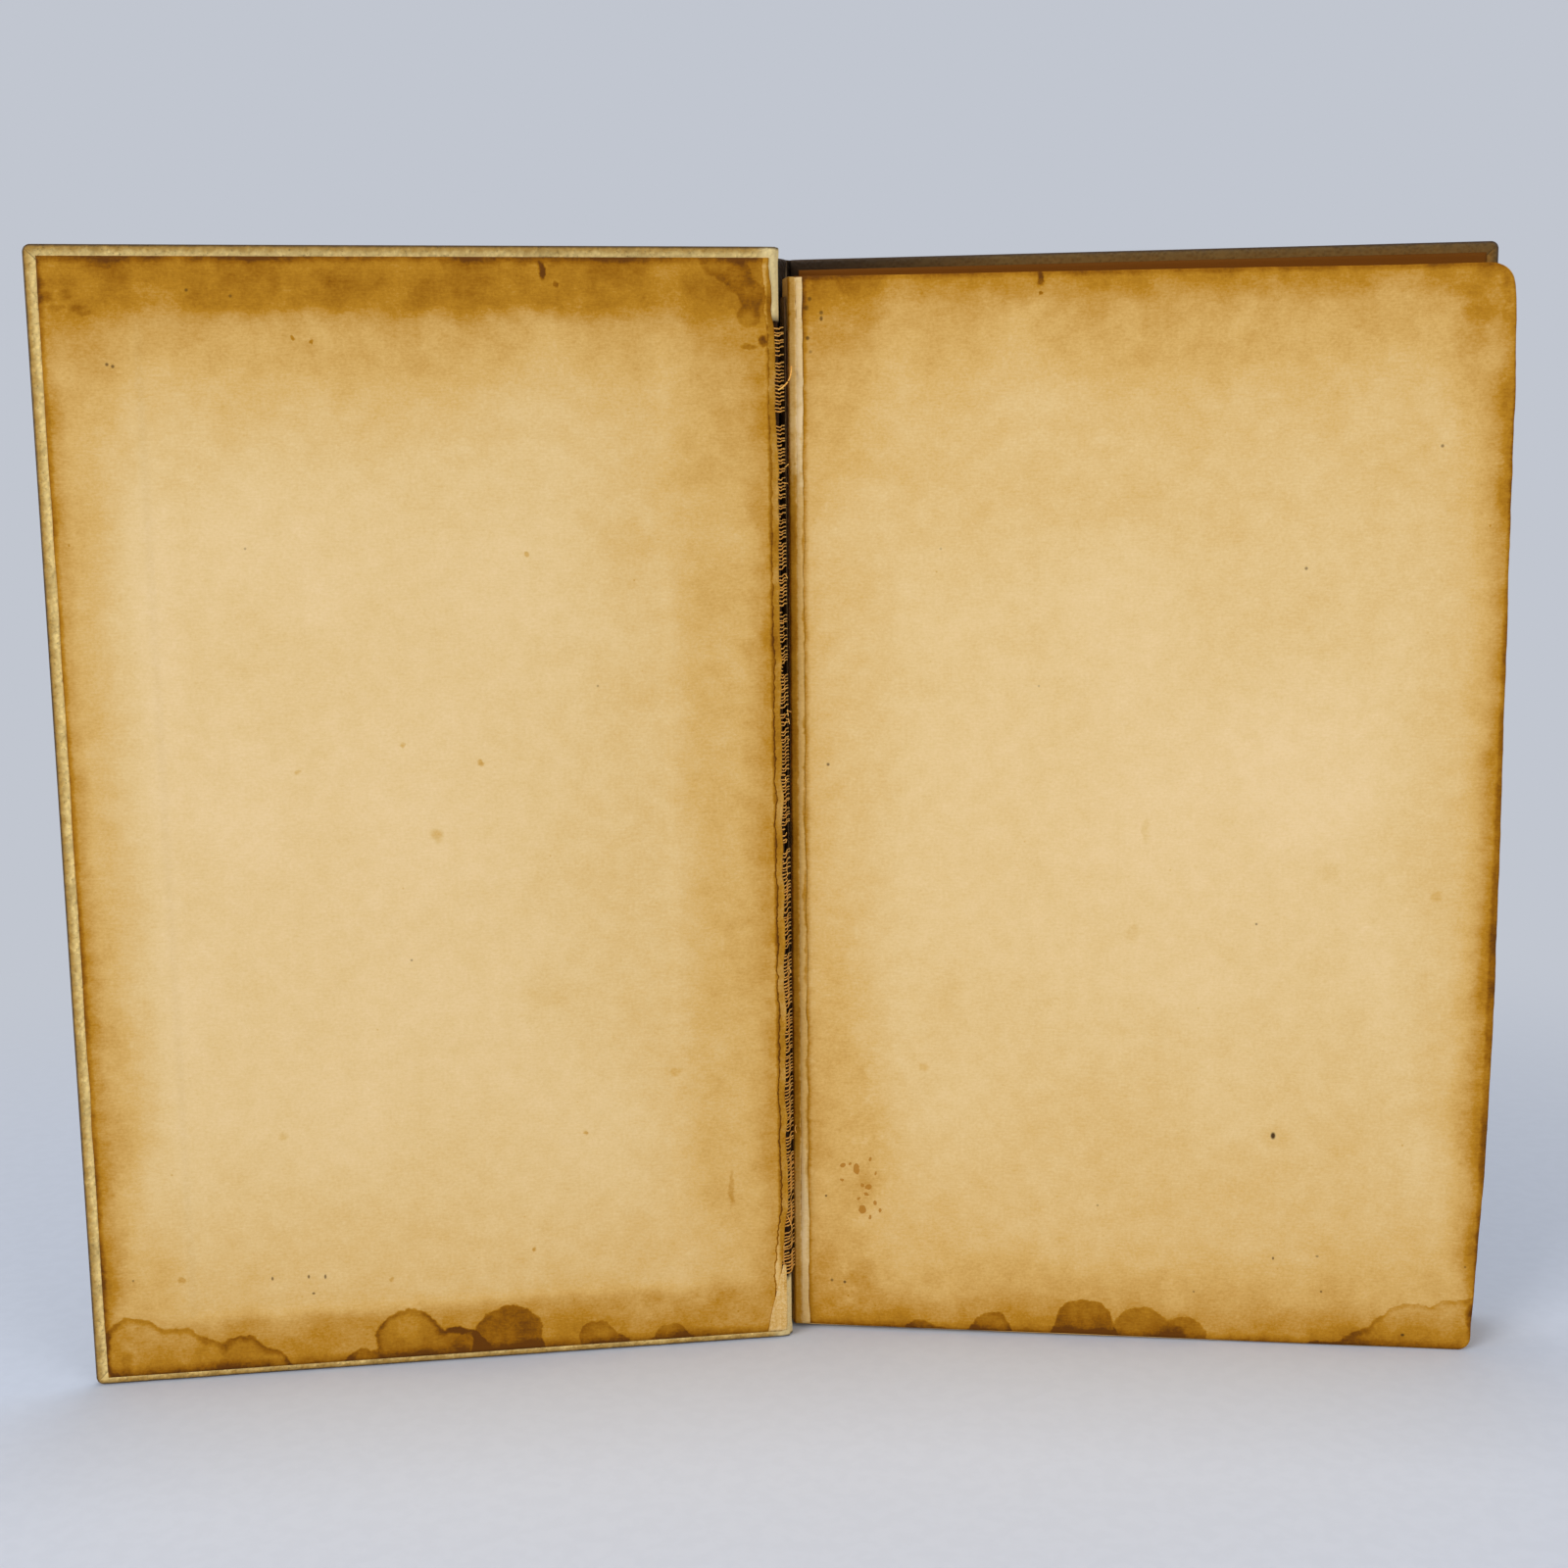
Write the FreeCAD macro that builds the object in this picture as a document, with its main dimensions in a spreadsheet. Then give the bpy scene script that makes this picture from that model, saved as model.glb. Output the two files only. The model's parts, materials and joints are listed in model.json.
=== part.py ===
# An old cloth-bound book that stands open on its tail edges, its front joint cracked.
#
# +Z runs from tail to head, +X from the spine to the fore edge of the closed rear cover, and
# the front of the book faces -Y. The origin is the foot of the spine, at the middle of its
# rounded back, on the plane that the covers stand on. Lengths are in millimetres.
#
# A cover is drawn closed, in a frame of its own: the hinge line is its Z axis, X runs out to
# the fore edge, and a level is a distance from the outer cloth towards the leaves.
import FreeCAD, Part
import math
import os
import re
import Sketcher

os.makedirs("parts", exist_ok=True)
doc = FreeCAD.newDocument("OpenBook")

# Driving dimensions
SIZES = [
    ("cover_height", 235.0, "covers from tail to head"),
    ("cover_width", 148.8, "hinge line to the fore edge of a cover"),
    ("board_thick", 2.0, "millboard of each cover"),
    ("board_edge", 0.4, "rounding of the board's long edges"),
    ("board_corner", 1.8, "rounding of the board's two outer corners"),
    ("cloth_thick", 0.35, "cover cloth"),
    ("paper_thick", 0.15, "paste-down paper"),
    ("joint_width", 2.5, "hinge line to the near edge of the board"),
    ("joint_cut", 0.45, "hinge line to the cloth of a cover"),
    ("back_cut", 0.9, "hinge line to the cloth of the back"),
    ("turn_in_fore", 21.0, "cloth turned in at the fore edge"),
    ("turn_in_head", 15.0, "cloth turned in at the head"),
    ("turn_in_tail", 14.0, "cloth turned in at the tail"),
    ("mitre_seam", 0.3, "half the width of the seam where two turn-ins meet"),
    ("mitre_depth", 0.2, "depth of that seam"),
    ("margin_fore", 2.7, "cloth left showing beside a paste-down at the fore edge"),
    ("margin_head", 2.4, "the same at the head"),
    ("margin_tail", 1.8, "the same at the tail"),
    ("open_angle", 165.7, "degrees that the front cover stands open"),
    ("play", 0.3, "page block to a closed cover"),
    ("page_width", 146.2, "leaves from gutter to fore edge"),
    ("page_height", 228.6, "leaves from tail to head"),
    ("page_block", 17.6, "all leaves together"),
    ("gutter_inset", 0.53, "hinge line to the gutter edge of the leaves"),
    ("back_round", 2.0, "rise of the leaves' rounded back"),
    ("fore_hollow", 1.6, "hollow of the leaves' fore edge"),
    ("shoulder", 0.5, "slope at each long edge of the leaves' back"),
    ("head_corner", 5.0, "worn corner of the leaves at the head"),
    ("tail_corner", 2.4, "worn corner of the leaves at the tail"),
    ("sections", 11, "folded sections sewn together"),
    ("cleft_depth", 0.45, "depth of the cleft between two sections"),
    ("cleft_width", 0.5, "width of that cleft"),
    ("stub_width", 3.4, "strip of endpaper left standing along the gutter"),
    ("stub_step", 0.15, "step from that strip down to the page"),
    ("stub_crease", 1.8, "gutter edge to the crease in that strip"),
    ("crease_width", 0.4, "width of the crease"),
    ("sag_angle", 0.34, "degrees that the loosened leaves have dropped at the fore edge"),
    ("mull_thick", 0.25, "open-weave mull"),
    ("mull_head", 11.0, "mull on the back below the head of the leaves"),
    ("mull_tail", 13.5, "mull on the back above the tail of the leaves"),
    ("mull_flange", 22.0, "mull pasted down on a board"),
    ("flange_tail_gap", 0.4, "turned-in cloth at the tail to the mull on a cover"),
    ("flange_head_gap", 1.5, "the same at the head"),
    ("tear_reach", 1.6, "farthest that the torn front paste-down stands out over its joint"),
    ("mull_gaps", 110, "gaps between the cross threads in the cracked joint"),
    ("mull_gap", 1.1, "height of a gap"),
    ("mull_hem", 0.3, "thread at each end of a gap"),
    ("lining_thick", 0.3, "paper lining on the mull"),
    ("lining_inset", 4.0, "lining below the head and above the tail of the leaves"),
    ("lining_margin", 0.8, "lining short of the long edges of the back"),
    ("inlay_thick", 0.8, "card that stiffens the cloth back"),
    ("inlay_margin", 2.2, "hinge line to the card"),
    ("hollow_gap", 0.6, "cloth back to the lining, the hollow of the back"),
]

# Places and angles that follow from the driving dimensions
ARC_DEGREES = "(180 / pi) * 1 deg"
FITS = [
    ("board_face", "cloth_thick / 2 + board_thick", "level of a board's inner face"),
    ("turn_in_face", "board_face + cloth_thick", "level of the turned-in cloth"),
    ("cover_face", "turn_in_face + paper_thick", "level of a paste-down"),
    ("hinge_side", "page_block / 2 + play + cover_face", "middle plane to a hinge line"),
    ("leaf_half", "page_block / 2 - shoulder", "half the chord of the leaves' back"),
    ("leaf_radius", "(leaf_half ^ 2 + back_round ^ 2) / (2 * back_round)", "radius of that back"),
    ("leaf_spread", "asin(leaf_half / leaf_radius)", "half the angle of that back"),
    ("leaf_centre", "leaf_radius - back_round", "gutter edge to the centre of that back"),
    ("section_turn", "2 * leaf_spread / sections", "angle of one section on that back"),
    ("lining_spread", f"leaf_spread - lining_margin / leaf_radius * {ARC_DEGREES}", "half its angle"),
    ("back_wall", "2 * cloth_thick + inlay_thick", "turned-in cloth back, all its layers"),
    ("leaf_wrap", "mull_thick + lining_thick", "layers pasted on the leaves' back"),
    (
        "back_rise",
        "back_round - gutter_inset + leaf_wrap + hollow_gap + back_wall - cloth_thick / 2",
        "rise of the cloth back over the hinge lines",
    ),
    ("back_radius", "(hinge_side ^ 2 + back_rise ^ 2) / (2 * back_rise)", "radius of the cloth back"),
    ("back_spread", "asin(hinge_side / back_radius)", "half the angle between the hinge lines"),
    ("cloth_spread", f"back_spread - back_cut / back_radius * {ARC_DEGREES}", "half its cloth's angle"),
    ("inlay_spread", f"back_spread - inlay_margin / back_radius * {ARC_DEGREES}", "half its card's angle"),
    ("hinge_x", "back_rise - (back_wall - cloth_thick) / 2", "origin to the hinge lines"),
    ("back_centre", "hinge_x - back_rise + back_radius", "origin to the centre of the cloth back"),
    ("cloth_inside", "back_radius - cloth_thick / 2", "radius inside the cloth of the back"),
    ("inlay_inside", "cloth_inside - inlay_thick", "radius inside its card"),
    ("page_lift", "page_width * sin(sag_angle * 1 deg)", "gutter end of the leaves over the floor"),
    ("mull_tall", "page_height - mull_head - mull_tail", "mull on the back from its foot to its top"),
    ("flange_foot", "turn_in_tail + flange_tail_gap", "foot of the mull on a cover"),
    ("flange_top", "cover_height - turn_in_head - flange_head_gap", "its top"),
    ("mull_pitch", "(flange_top - flange_foot - mull_gap) / mull_gaps", "one cross thread and its gap"),
]

# Torn edge of the front paste-down: share of the way up the mull, and share of the farthest reach
TEAR = [
    (0.0, 0.35),
    (0.05, 0.6),
    (0.09, 0.45),
    (0.16, 0.8),
    (0.23, 0.65),
    (0.31, 0.95),
    (0.38, 0.8),
    (0.47, 1.0),
    (0.55, 0.75),
    (0.62, 0.9),
    (0.7, 0.7),
    (0.78, 0.95),
    (0.86, 0.6),
    (0.93, 0.8),
    (1.0, 0.3),
]

OWNER = {name: "sizes" for name, _, _ in SIZES}
OWNER.update({name: "fits" for name, _, _ in FITS})


def formula(text, home=""):
    """The text with each size's name led by its sheet, apart from names in the home sheet."""

    def led(found):
        sheet = OWNER.get(found.group(), home)
        return found.group() if sheet == home else f"{sheet}.{found.group()}"

    return re.sub(r"[a-z]+(?:_[a-z]+)*", led, text)


def fill_sheet(label, rows, lead):
    """A sheet with a name, a value and a meaning in each row."""
    sheet = doc.addObject("Spreadsheet::Sheet", label)
    for number, (name, value, meaning) in enumerate(rows, start=1):
        sheet.set(f"A{number}", name)
        sheet.set(f"B{number}", lead + formula(str(value), label))
        sheet.setAlias(f"B{number}", name)
        sheet.set(f"C{number}", meaning)
    doc.recompute()
    return sheet


sizes = fill_sheet("sizes", SIZES, "")
fits = fill_sheet("fits", FITS, "=")


# Sketches and features
def sketch_on(body, label, plane, along="0"):
    """A sketch on a plane of the body's origin, moved along that plane's normal."""
    sketch = body.newObject("Sketcher::SketchObject", label)
    base = next(item for item in body.Origin.OriginFeatures if item.Role == plane)
    sketch.AttachmentSupport = [(base, "")]
    sketch.MapMode = "FlatFace"
    sketch.setExpression("AttachmentOffset.Base.z", formula(along))
    return sketch


def arc_between(start, end, radius, side):
    """The short arc from start to end that bulges to the right, or to the left for side -1."""
    chord = end - start
    rise = radius - math.sqrt(radius ** 2 - (chord.Length / 2) ** 2)
    right = FreeCAD.Vector(chord.y, -chord.x, 0).normalize()
    return Part.Arc(start, (start + end) / 2 + right * (side * rise), end)


def outline(sketch, corners):
    """A closed outline through corners of two formulas each, or four where an arc leads on."""

    def value(text):
        return float(sketch.evalExpression(formula(text)))

    points = [FreeCAD.Vector(value(corner[0]), value(corner[1]), 0) for corner in corners]
    ends = []
    for number, corner in enumerate(corners):
        start = points[number]
        end = points[(number + 1) % len(points)]
        if len(corner) == 2:
            sketch.addGeometry(Part.LineSegment(start, end))
            ends.append((1, 2))
            continue
        sketch.addGeometry(arc_between(start, end, value(corner[2]), corner[3]))
        forward = (sketch.getPoint(number, 1) - start).Length < (sketch.getPoint(number, 2) - start).Length
        ends.append((1, 2) if forward else (2, 1))
        radius = sketch.addConstraint(Sketcher.Constraint("Radius", number, value(corner[2])))
        sketch.setExpression(f"Constraints[{radius}]", formula(corner[2]))
    for number, corner in enumerate(corners):
        last = number - 1 if number else len(corners) - 1
        sketch.addConstraint(Sketcher.Constraint("Coincident", last, ends[last][1], number, ends[number][0]))
        for kind, text in zip(("DistanceX", "DistanceY"), corner):
            place = Sketcher.Constraint(kind, -1, 1, number, ends[number][0], value(text))
            sketch.setExpression(f"Constraints[{sketch.addConstraint(place)}]", formula(text))
    return sketch


def rectangle(left, low, right, high):
    """The four corners of an upright rectangle."""
    return [(left, low), (right, low), (right, high), (left, high)]


def feature(body, kind, sketch, length, reverse=False):
    """A pad or a pocket of a sketch."""
    made = body.newObject(f"PartDesign::{kind}", f"{sketch.Label}_{kind.lower()}")
    made.Profile = sketch
    made.setExpression("Length", formula(length))
    made.Reversed = reverse
    doc.recompute()
    return made


def round_off(body, radius, chosen):
    """Fillets along the edges of the body's tip that the test picks out."""
    tip = body.Tip
    box = tip.Shape.BoundBox
    picked = [f"Edge{n}" for n, edge in enumerate(tip.Shape.Edges, start=1) if chosen(edge, box)]
    fillet = body.newObject("PartDesign::Fillet", f"{body.Label}_round")
    fillet.Base = (tip, picked)
    fillet.setExpression("Radius", formula(radius))
    doc.recompute()
    return fillet


TOUCH = 0.001


def outer_corner(edge, box):
    """An edge across the thickness of a cover, at its fore edge."""
    return edge.BoundBox.XMin > box.XMax - TOUCH and edge.BoundBox.YLength > TOUCH


def face_rim(edge, box):
    """An edge round either face of a cover, apart from the side by the joint."""
    return edge.BoundBox.YLength < TOUCH and edge.BoundBox.XMax > box.XMin + TOUCH


def new_body(label):
    """An empty body with its own label."""
    body = doc.addObject("PartDesign::Body", label)
    body.Label = label
    return body


# Covers
class Cover:
    """One cover, with the side that its board lies on and how far it stands open."""

    def __init__(self, name, facing, turned):
        self.name = name
        self.facing = facing
        self.turned = turned

    def body(self, piece):
        """A body in the cover's own frame, set at its hinge line and opened."""
        body = new_body(f"{self.name}_{piece}")
        body.Placement.Rotation = FreeCAD.Rotation(FreeCAD.Vector(0, 0, 1), 1)
        body.setExpression("Placement.Base.x", formula("hinge_x"))
        body.setExpression("Placement.Base.y", formula(f"{-self.facing} * hinge_side"))
        body.setExpression("Placement.Rotation.Angle", formula(f"{self.turned} * 1 deg"))
        return body

    def slab(self, body, label, corners, low, high):
        """Adds the outline, seen from the front, between two levels."""
        sketch = outline(sketch_on(body, label, "XZ_Plane", f"{-self.facing} * ({low})"), corners)
        return feature(body, "Pad", sketch, f"{high} - ({low})", self.facing > 0)

    def recess(self, body, label, corners, low, high):
        """Takes the outline away between two levels."""
        sketch = outline(sketch_on(body, label, "XZ_Plane", f"{-self.facing} * ({high})"), corners)
        return feature(body, "Pocket", sketch, f"{high} - ({low})", self.facing > 0)

    def board(self):
        """The millboard, square at the joint and rounded on its other edges."""
        body = self.body("board")
        sheet = rectangle("joint_width", "cloth_thick", "cover_width - cloth_thick", "cover_height - cloth_thick")
        self.slab(body, "board", sheet, "cloth_thick / 2", "board_face")
        round_off(body, "board_corner", outer_corner)
        round_off(body, "board_edge", face_rim)
        return body

    def cloth(self, board):
        """Cloth drawn over the board, turned in at head, tail and fore edge, and run on to the joint."""
        body = self.body("cloth_shape")
        whole = rectangle("joint_cut", "0", "cover_width", "cover_height")
        self.slab(body, "wrap", whole, "-cloth_thick / 2", "turn_in_face")
        round_off(body, "board_corner + cloth_thick", outer_corner)
        round_off(body, "board_edge + cloth_thick", face_rim)
        joint = rectangle("0", "0", "joint_width", "cover_height")
        self.recess(body, "joint", joint, "cloth_thick * 1.5", "turn_in_face")
        bare_joint = rectangle("0", "turn_in_tail", "joint_width", "cover_height - turn_in_head")
        self.recess(body, "bare_joint", bare_joint, "cloth_thick / 2", "cloth_thick * 1.5")
        bare_board = rectangle(
            "joint_width", "turn_in_tail", "cover_width - turn_in_fore", "cover_height - turn_in_head"
        )
        self.recess(body, "bare_board", bare_board, "board_face", "turn_in_face")
        for label, edge, way, reach in (
            ("head_mitre", "cover_height", "-", "turn_in_head"),
            ("tail_mitre", "0", "+", "turn_in_tail"),
        ):
            seam = [
                ("cover_width + mitre_seam", edge),
                ("cover_width - mitre_seam", edge),
                (f"cover_width - {reach} - mitre_seam", f"{edge} {way} {reach}"),
                (f"cover_width - {reach} + mitre_seam", f"{edge} {way} {reach}"),
            ]
            self.recess(body, label, seam, "turn_in_face - mitre_depth", "turn_in_face")
        cloth = doc.addObject("Part::Cut", f"{self.name}_cloth")
        cloth.Base = body
        cloth.Tool = board
        cloth.Label = f"{self.name}_cloth"
        return cloth

    def mull(self, open_joint):
        """Mull pasted along the joint, up the board's edge and over its inner face."""
        body = self.body("mull")
        steps = [
            ("joint_cut", "cloth_thick / 2"),
            ("joint_width", "cloth_thick / 2"),
            ("joint_width", "board_face"),
            ("joint_width + mull_flange", "board_face"),
            ("joint_width + mull_flange", "board_face + mull_thick"),
            ("joint_width - mull_thick", "board_face + mull_thick"),
            ("joint_width - mull_thick", "cloth_thick / 2 + mull_thick"),
            ("joint_cut", "cloth_thick / 2 + mull_thick"),
        ]
        section = [(out, f"{self.facing} * ({level})") for out, level in steps]
        sketch = outline(sketch_on(body, "mull_section", "XY_Plane", "flange_foot"), section)
        feature(body, "Pad", sketch, "flange_top - flange_foot")
        if open_joint:
            self.weave(body)
        return body

    def weave(self, body):
        """Gaps between the cross threads, one pocket repeated up the joint."""
        gap = rectangle(
            "joint_cut + mull_hem",
            "flange_foot + mull_gap",
            "joint_width - mull_thick - mull_hem",
            "flange_foot + 2 * mull_gap",
        )
        pocket = self.recess(body, "gap", gap, "cloth_thick / 2", "cloth_thick / 2 + mull_thick")
        ladder = body.newObject("PartDesign::LinearPattern", "mull_ladder")
        ladder.Originals = [pocket]
        ladder.Direction = (pocket.Profile[0], ["V_Axis"])
        ladder.setExpression("Length", formula("(mull_gaps - 1) * mull_pitch"))
        ladder.setExpression("Occurrences", formula("mull_gaps"))
        body.Tip = ladder
        doc.recompute()

    def paste_down(self, torn):
        """Endpaper pasted over board, mull and turn-ins, which it follows in two shallow steps."""
        body = self.body("paste_down")
        fore, head, tail = "cover_width - turn_in_fore", "cover_height - turn_in_head", "turn_in_tail"
        whole = rectangle(
            "joint_width", "margin_tail", "cover_width - margin_fore", "cover_height - margin_head"
        )
        self.slab(body, "leaf", whole, "turn_in_face", "cover_face")
        self.slab(body, "bed", rectangle("joint_width", tail, fore, head), "board_face", "turn_in_face")
        inner = (f"{tail} + paper_thick", f"{fore} - paper_thick", f"{head} - paper_thick")
        flange = "joint_width + mull_flange"
        on_mull = rectangle("0", inner[0], inner[1], inner[2])
        self.recess(body, "on_mull", on_mull, "board_face + mull_thick + paper_thick", "cover_face")
        on_board = rectangle(f"{flange} + paper_thick", inner[0], inner[1], inner[2])
        self.recess(
            body, "on_board", on_board, "board_face + paper_thick", "board_face + mull_thick + paper_thick"
        )
        under = rectangle("0", "flange_foot", flange, "flange_top")
        self.recess(body, "over_mull", under, "board_face", "board_face + mull_thick")
        if torn:
            edge = [("joint_width", "flange_foot"), ("joint_width", "flange_top")]
            for up, reach in reversed(TEAR):
                height = f"flange_foot + {up} * (flange_top - flange_foot)"
                edge.append((f"joint_width - {reach} * tear_reach", height))
            low = "board_face + mull_thick"
            self.slab(body, "torn_edge", edge, low, f"{low} + paper_thick")
        return body


front = Cover("front", 1, "-open_angle")
rear = Cover("rear", -1, "0")
front_board = front.board()
rear_board = rear.board()
pieces = [
    front_board,
    front.cloth(front_board),
    front.mull(True),
    front.paste_down(True),
    rear_board,
    rear.cloth(rear_board),
    rear.mull(False),
    rear.paste_down(False),
]


# Leaves
def leaf_body(label):
    """A body in the leaves' frame: gutter edge at the middle plane, dropped at the fore edge."""
    body = new_body(label)
    body.Placement.Rotation = FreeCAD.Rotation(FreeCAD.Vector(0, 1, 0), 1)
    body.setExpression("Placement.Base.x", formula("hinge_x + gutter_inset"))
    body.setExpression("Placement.Base.z", formula("page_lift"))
    body.setExpression("Placement.Rotation.Angle", formula("sag_angle * 1 deg"))
    return body


def fore_corner(end):
    """A test for the edge where the fore edge meets the head or the tail."""

    def chosen(edge, box):
        level = box.ZMax if end == "head" else box.ZMin
        flat = edge.BoundBox.ZLength < TOUCH and abs(edge.BoundBox.ZMin - level) < TOUCH
        return flat and edge.CenterOfMass.x > box.XMax - float(sizes.fore_hollow)

    return chosen


def leaves():
    """All leaves as one block: rounded back, hollow fore edge and the stub of the torn endpaper."""
    body = leaf_body("text_block")
    page = "stub_step - page_block / 2"
    profile = [
        ("0", "shoulder - page_block / 2"),
        ("shoulder", "-page_block / 2"),
        ("stub_crease - crease_width / 2", "-page_block / 2"),
        ("stub_crease", page),
        ("stub_crease + crease_width / 2", "-page_block / 2"),
        ("stub_width", "-page_block / 2"),
        ("stub_width + stub_step", page),
        ("page_width", page, "((page_block - stub_step) ^ 2 / 4 + fore_hollow ^ 2) / (2 * fore_hollow)", -1),
        ("page_width", "page_block / 2"),
        ("shoulder", "page_block / 2"),
        ("0", "page_block / 2 - shoulder", "leaf_radius", 1),
    ]
    feature(body, "Pad", outline(sketch_on(body, "leaf_profile", "XY_Plane"), profile), "page_height")
    round_off(body, "head_corner", fore_corner("head"))
    round_off(body, "tail_corner", fore_corner("tail"))
    return body


def sew(body):
    """Clefts between the folds of the sections, one pocket turned about the back's centre."""
    sketch = sketch_on(body, "cleft", "XY_Plane")
    sketch.setExpression("AttachmentOffset.Base.x", formula("leaf_centre"))
    sketch.AttachmentOffset.Rotation = FreeCAD.Rotation(FreeCAD.Vector(0, 0, 1), 1)
    sketch.setExpression("AttachmentOffset.Rotation.Angle", formula("section_turn - leaf_spread"))
    cleft = [
        ("-leaf_radius - cleft_depth", "-cleft_width"),
        ("cleft_depth - leaf_radius", "0"),
        ("-leaf_radius - cleft_depth", "cleft_width"),
    ]
    pocket = feature(body, "Pocket", outline(sketch, cleft), "page_height", True)
    clefts = body.newObject("PartDesign::PolarPattern", "clefts")
    clefts.Originals = [pocket]
    clefts.Axis = (sketch, ["N_Axis"])
    clefts.setExpression("Angle", formula("(sections - 2) * section_turn"))
    clefts.setExpression("Occurrences", formula("sections - 1"))
    body.Tip = clefts
    doc.recompute()


def curved_strip(body, label, centre, radii, spread, foot, tall):
    """A strip of a cylinder's wall, bulging to -X, between two radii about a centre on X."""
    inner, outer = radii

    def corner(radius, side):
        return (f"{centre} - ({radius}) * cos({spread})", f"{side} * ({radius}) * sin({spread})")

    section = [
        (*corner(outer, -1), outer, -1),
        corner(outer, 1),
        (*corner(inner, 1), inner, 1),
        corner(inner, -1),
    ]
    sketch = outline(sketch_on(body, label, "XY_Plane", foot), section)
    return feature(body, "Pad", sketch, tall)


def wrapped(label, radii, spread, foot, tall):
    """One layer pasted round the leaves' back."""
    body = leaf_body(label)
    curved_strip(body, label, "leaf_centre", radii, spread, foot, tall)
    return body


text_block = leaves()
sew(text_block)
mull_outside = "leaf_radius + mull_thick"
lining_tall = "page_height - 2 * lining_inset"
pieces += [
    text_block,
    wrapped("spine_mull", ("leaf_radius", mull_outside), "leaf_spread", "mull_tail", "mull_tall"),
    wrapped(
        "spine_lining",
        (mull_outside, f"{mull_outside} + lining_thick"),
        "lining_spread",
        "lining_inset",
        lining_tall,
    ),
]


# Cloth back
def back_strip(body, label, radii, spread, foot, tall):
    """A strip of the cloth back, about its own centre."""
    return curved_strip(body, label, "back_centre", radii, spread, foot, tall)


def spine_inlay():
    """The card inside the cloth back."""
    body = new_body("spine_inlay")
    radii = ("inlay_inside", "cloth_inside")
    back_strip(body, "card", radii, "inlay_spread", "cloth_thick", "cover_height - 2 * cloth_thick")
    return body


def cloth_end(edge, box):
    """An edge along the curve of the back, at the head or the tail."""
    at_end = min(abs(edge.BoundBox.ZMax - box.ZMax), abs(edge.BoundBox.ZMin - box.ZMin)) < TOUCH
    return at_end and edge.BoundBox.ZLength < TOUCH and edge.BoundBox.YLength > box.YLength / 2


def spine_cloth(inlay):
    """Cloth between the joints, turned in over the card at head and tail."""
    body = new_body("spine_cloth_shape")
    outside = ("cloth_inside", "cloth_inside + cloth_thick")
    inside = ("inlay_inside - cloth_thick", "cloth_inside")
    back_strip(body, "back", outside, "cloth_spread", "0", "cover_height")
    back_strip(body, "tail_turn", inside, "inlay_spread", "0", "turn_in_tail")
    back_strip(
        body, "head_turn", inside, "inlay_spread", "cover_height - turn_in_head", "turn_in_head"
    )
    round_off(body, "cloth_thick / 2", cloth_end)
    cloth = doc.addObject("Part::Cut", "spine_cloth")
    cloth.Base = body
    cloth.Tool = inlay
    cloth.Label = "spine_cloth"
    return cloth


inlay = spine_inlay()
pieces += [inlay, spine_cloth(inlay)]
doc.recompute()


# Checks and files
for item in doc.Objects:
    if "Invalid" in item.State or "Error" in item.State:
        raise RuntimeError(f"{item.Label} failed: {item.State}")
for piece in pieces:
    shape = piece.Shape
    if shape.isNull() or not shape.isValid() or len(shape.Solids) != 1:
        raise RuntimeError(f"{piece.Label} is not one valid solid")
    shape.exportStep(f"parts/{piece.Label}.step")
    box = shape.optimalBoundingBox()
    print(
        f"{piece.Label}: {shape.Volume:.0f} mm3, x {box.XMin:.2f} to {box.XMax:.2f}, "
        f"y {box.YMin:.2f} to {box.YMax:.2f}, z {box.ZMin:.2f} to {box.ZMax:.2f}"
    )
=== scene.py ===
# %% [markdown]
# # An old cloth-bound book, standing open
#
# The book stands on its tail edges, opened between the front cover and the first leaf. The
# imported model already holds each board, cloth, leaf block and hinge line at its real size.
# This lesson dresses it: woven cloth, toned and stained paper, torn edges and loose threads.
#
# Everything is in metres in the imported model's own frame: +Z runs from tail to head, +X from
# the spine to the fore edge of the closed rear cover, and the front of the book faces -Y.
# Sizes of the book itself are easier to read in millimetres, so they carry `MM` when placed.

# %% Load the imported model
import json
import math

import bmesh
import bpy
import numpy as np
from mathutils import Matrix, Vector


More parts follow.
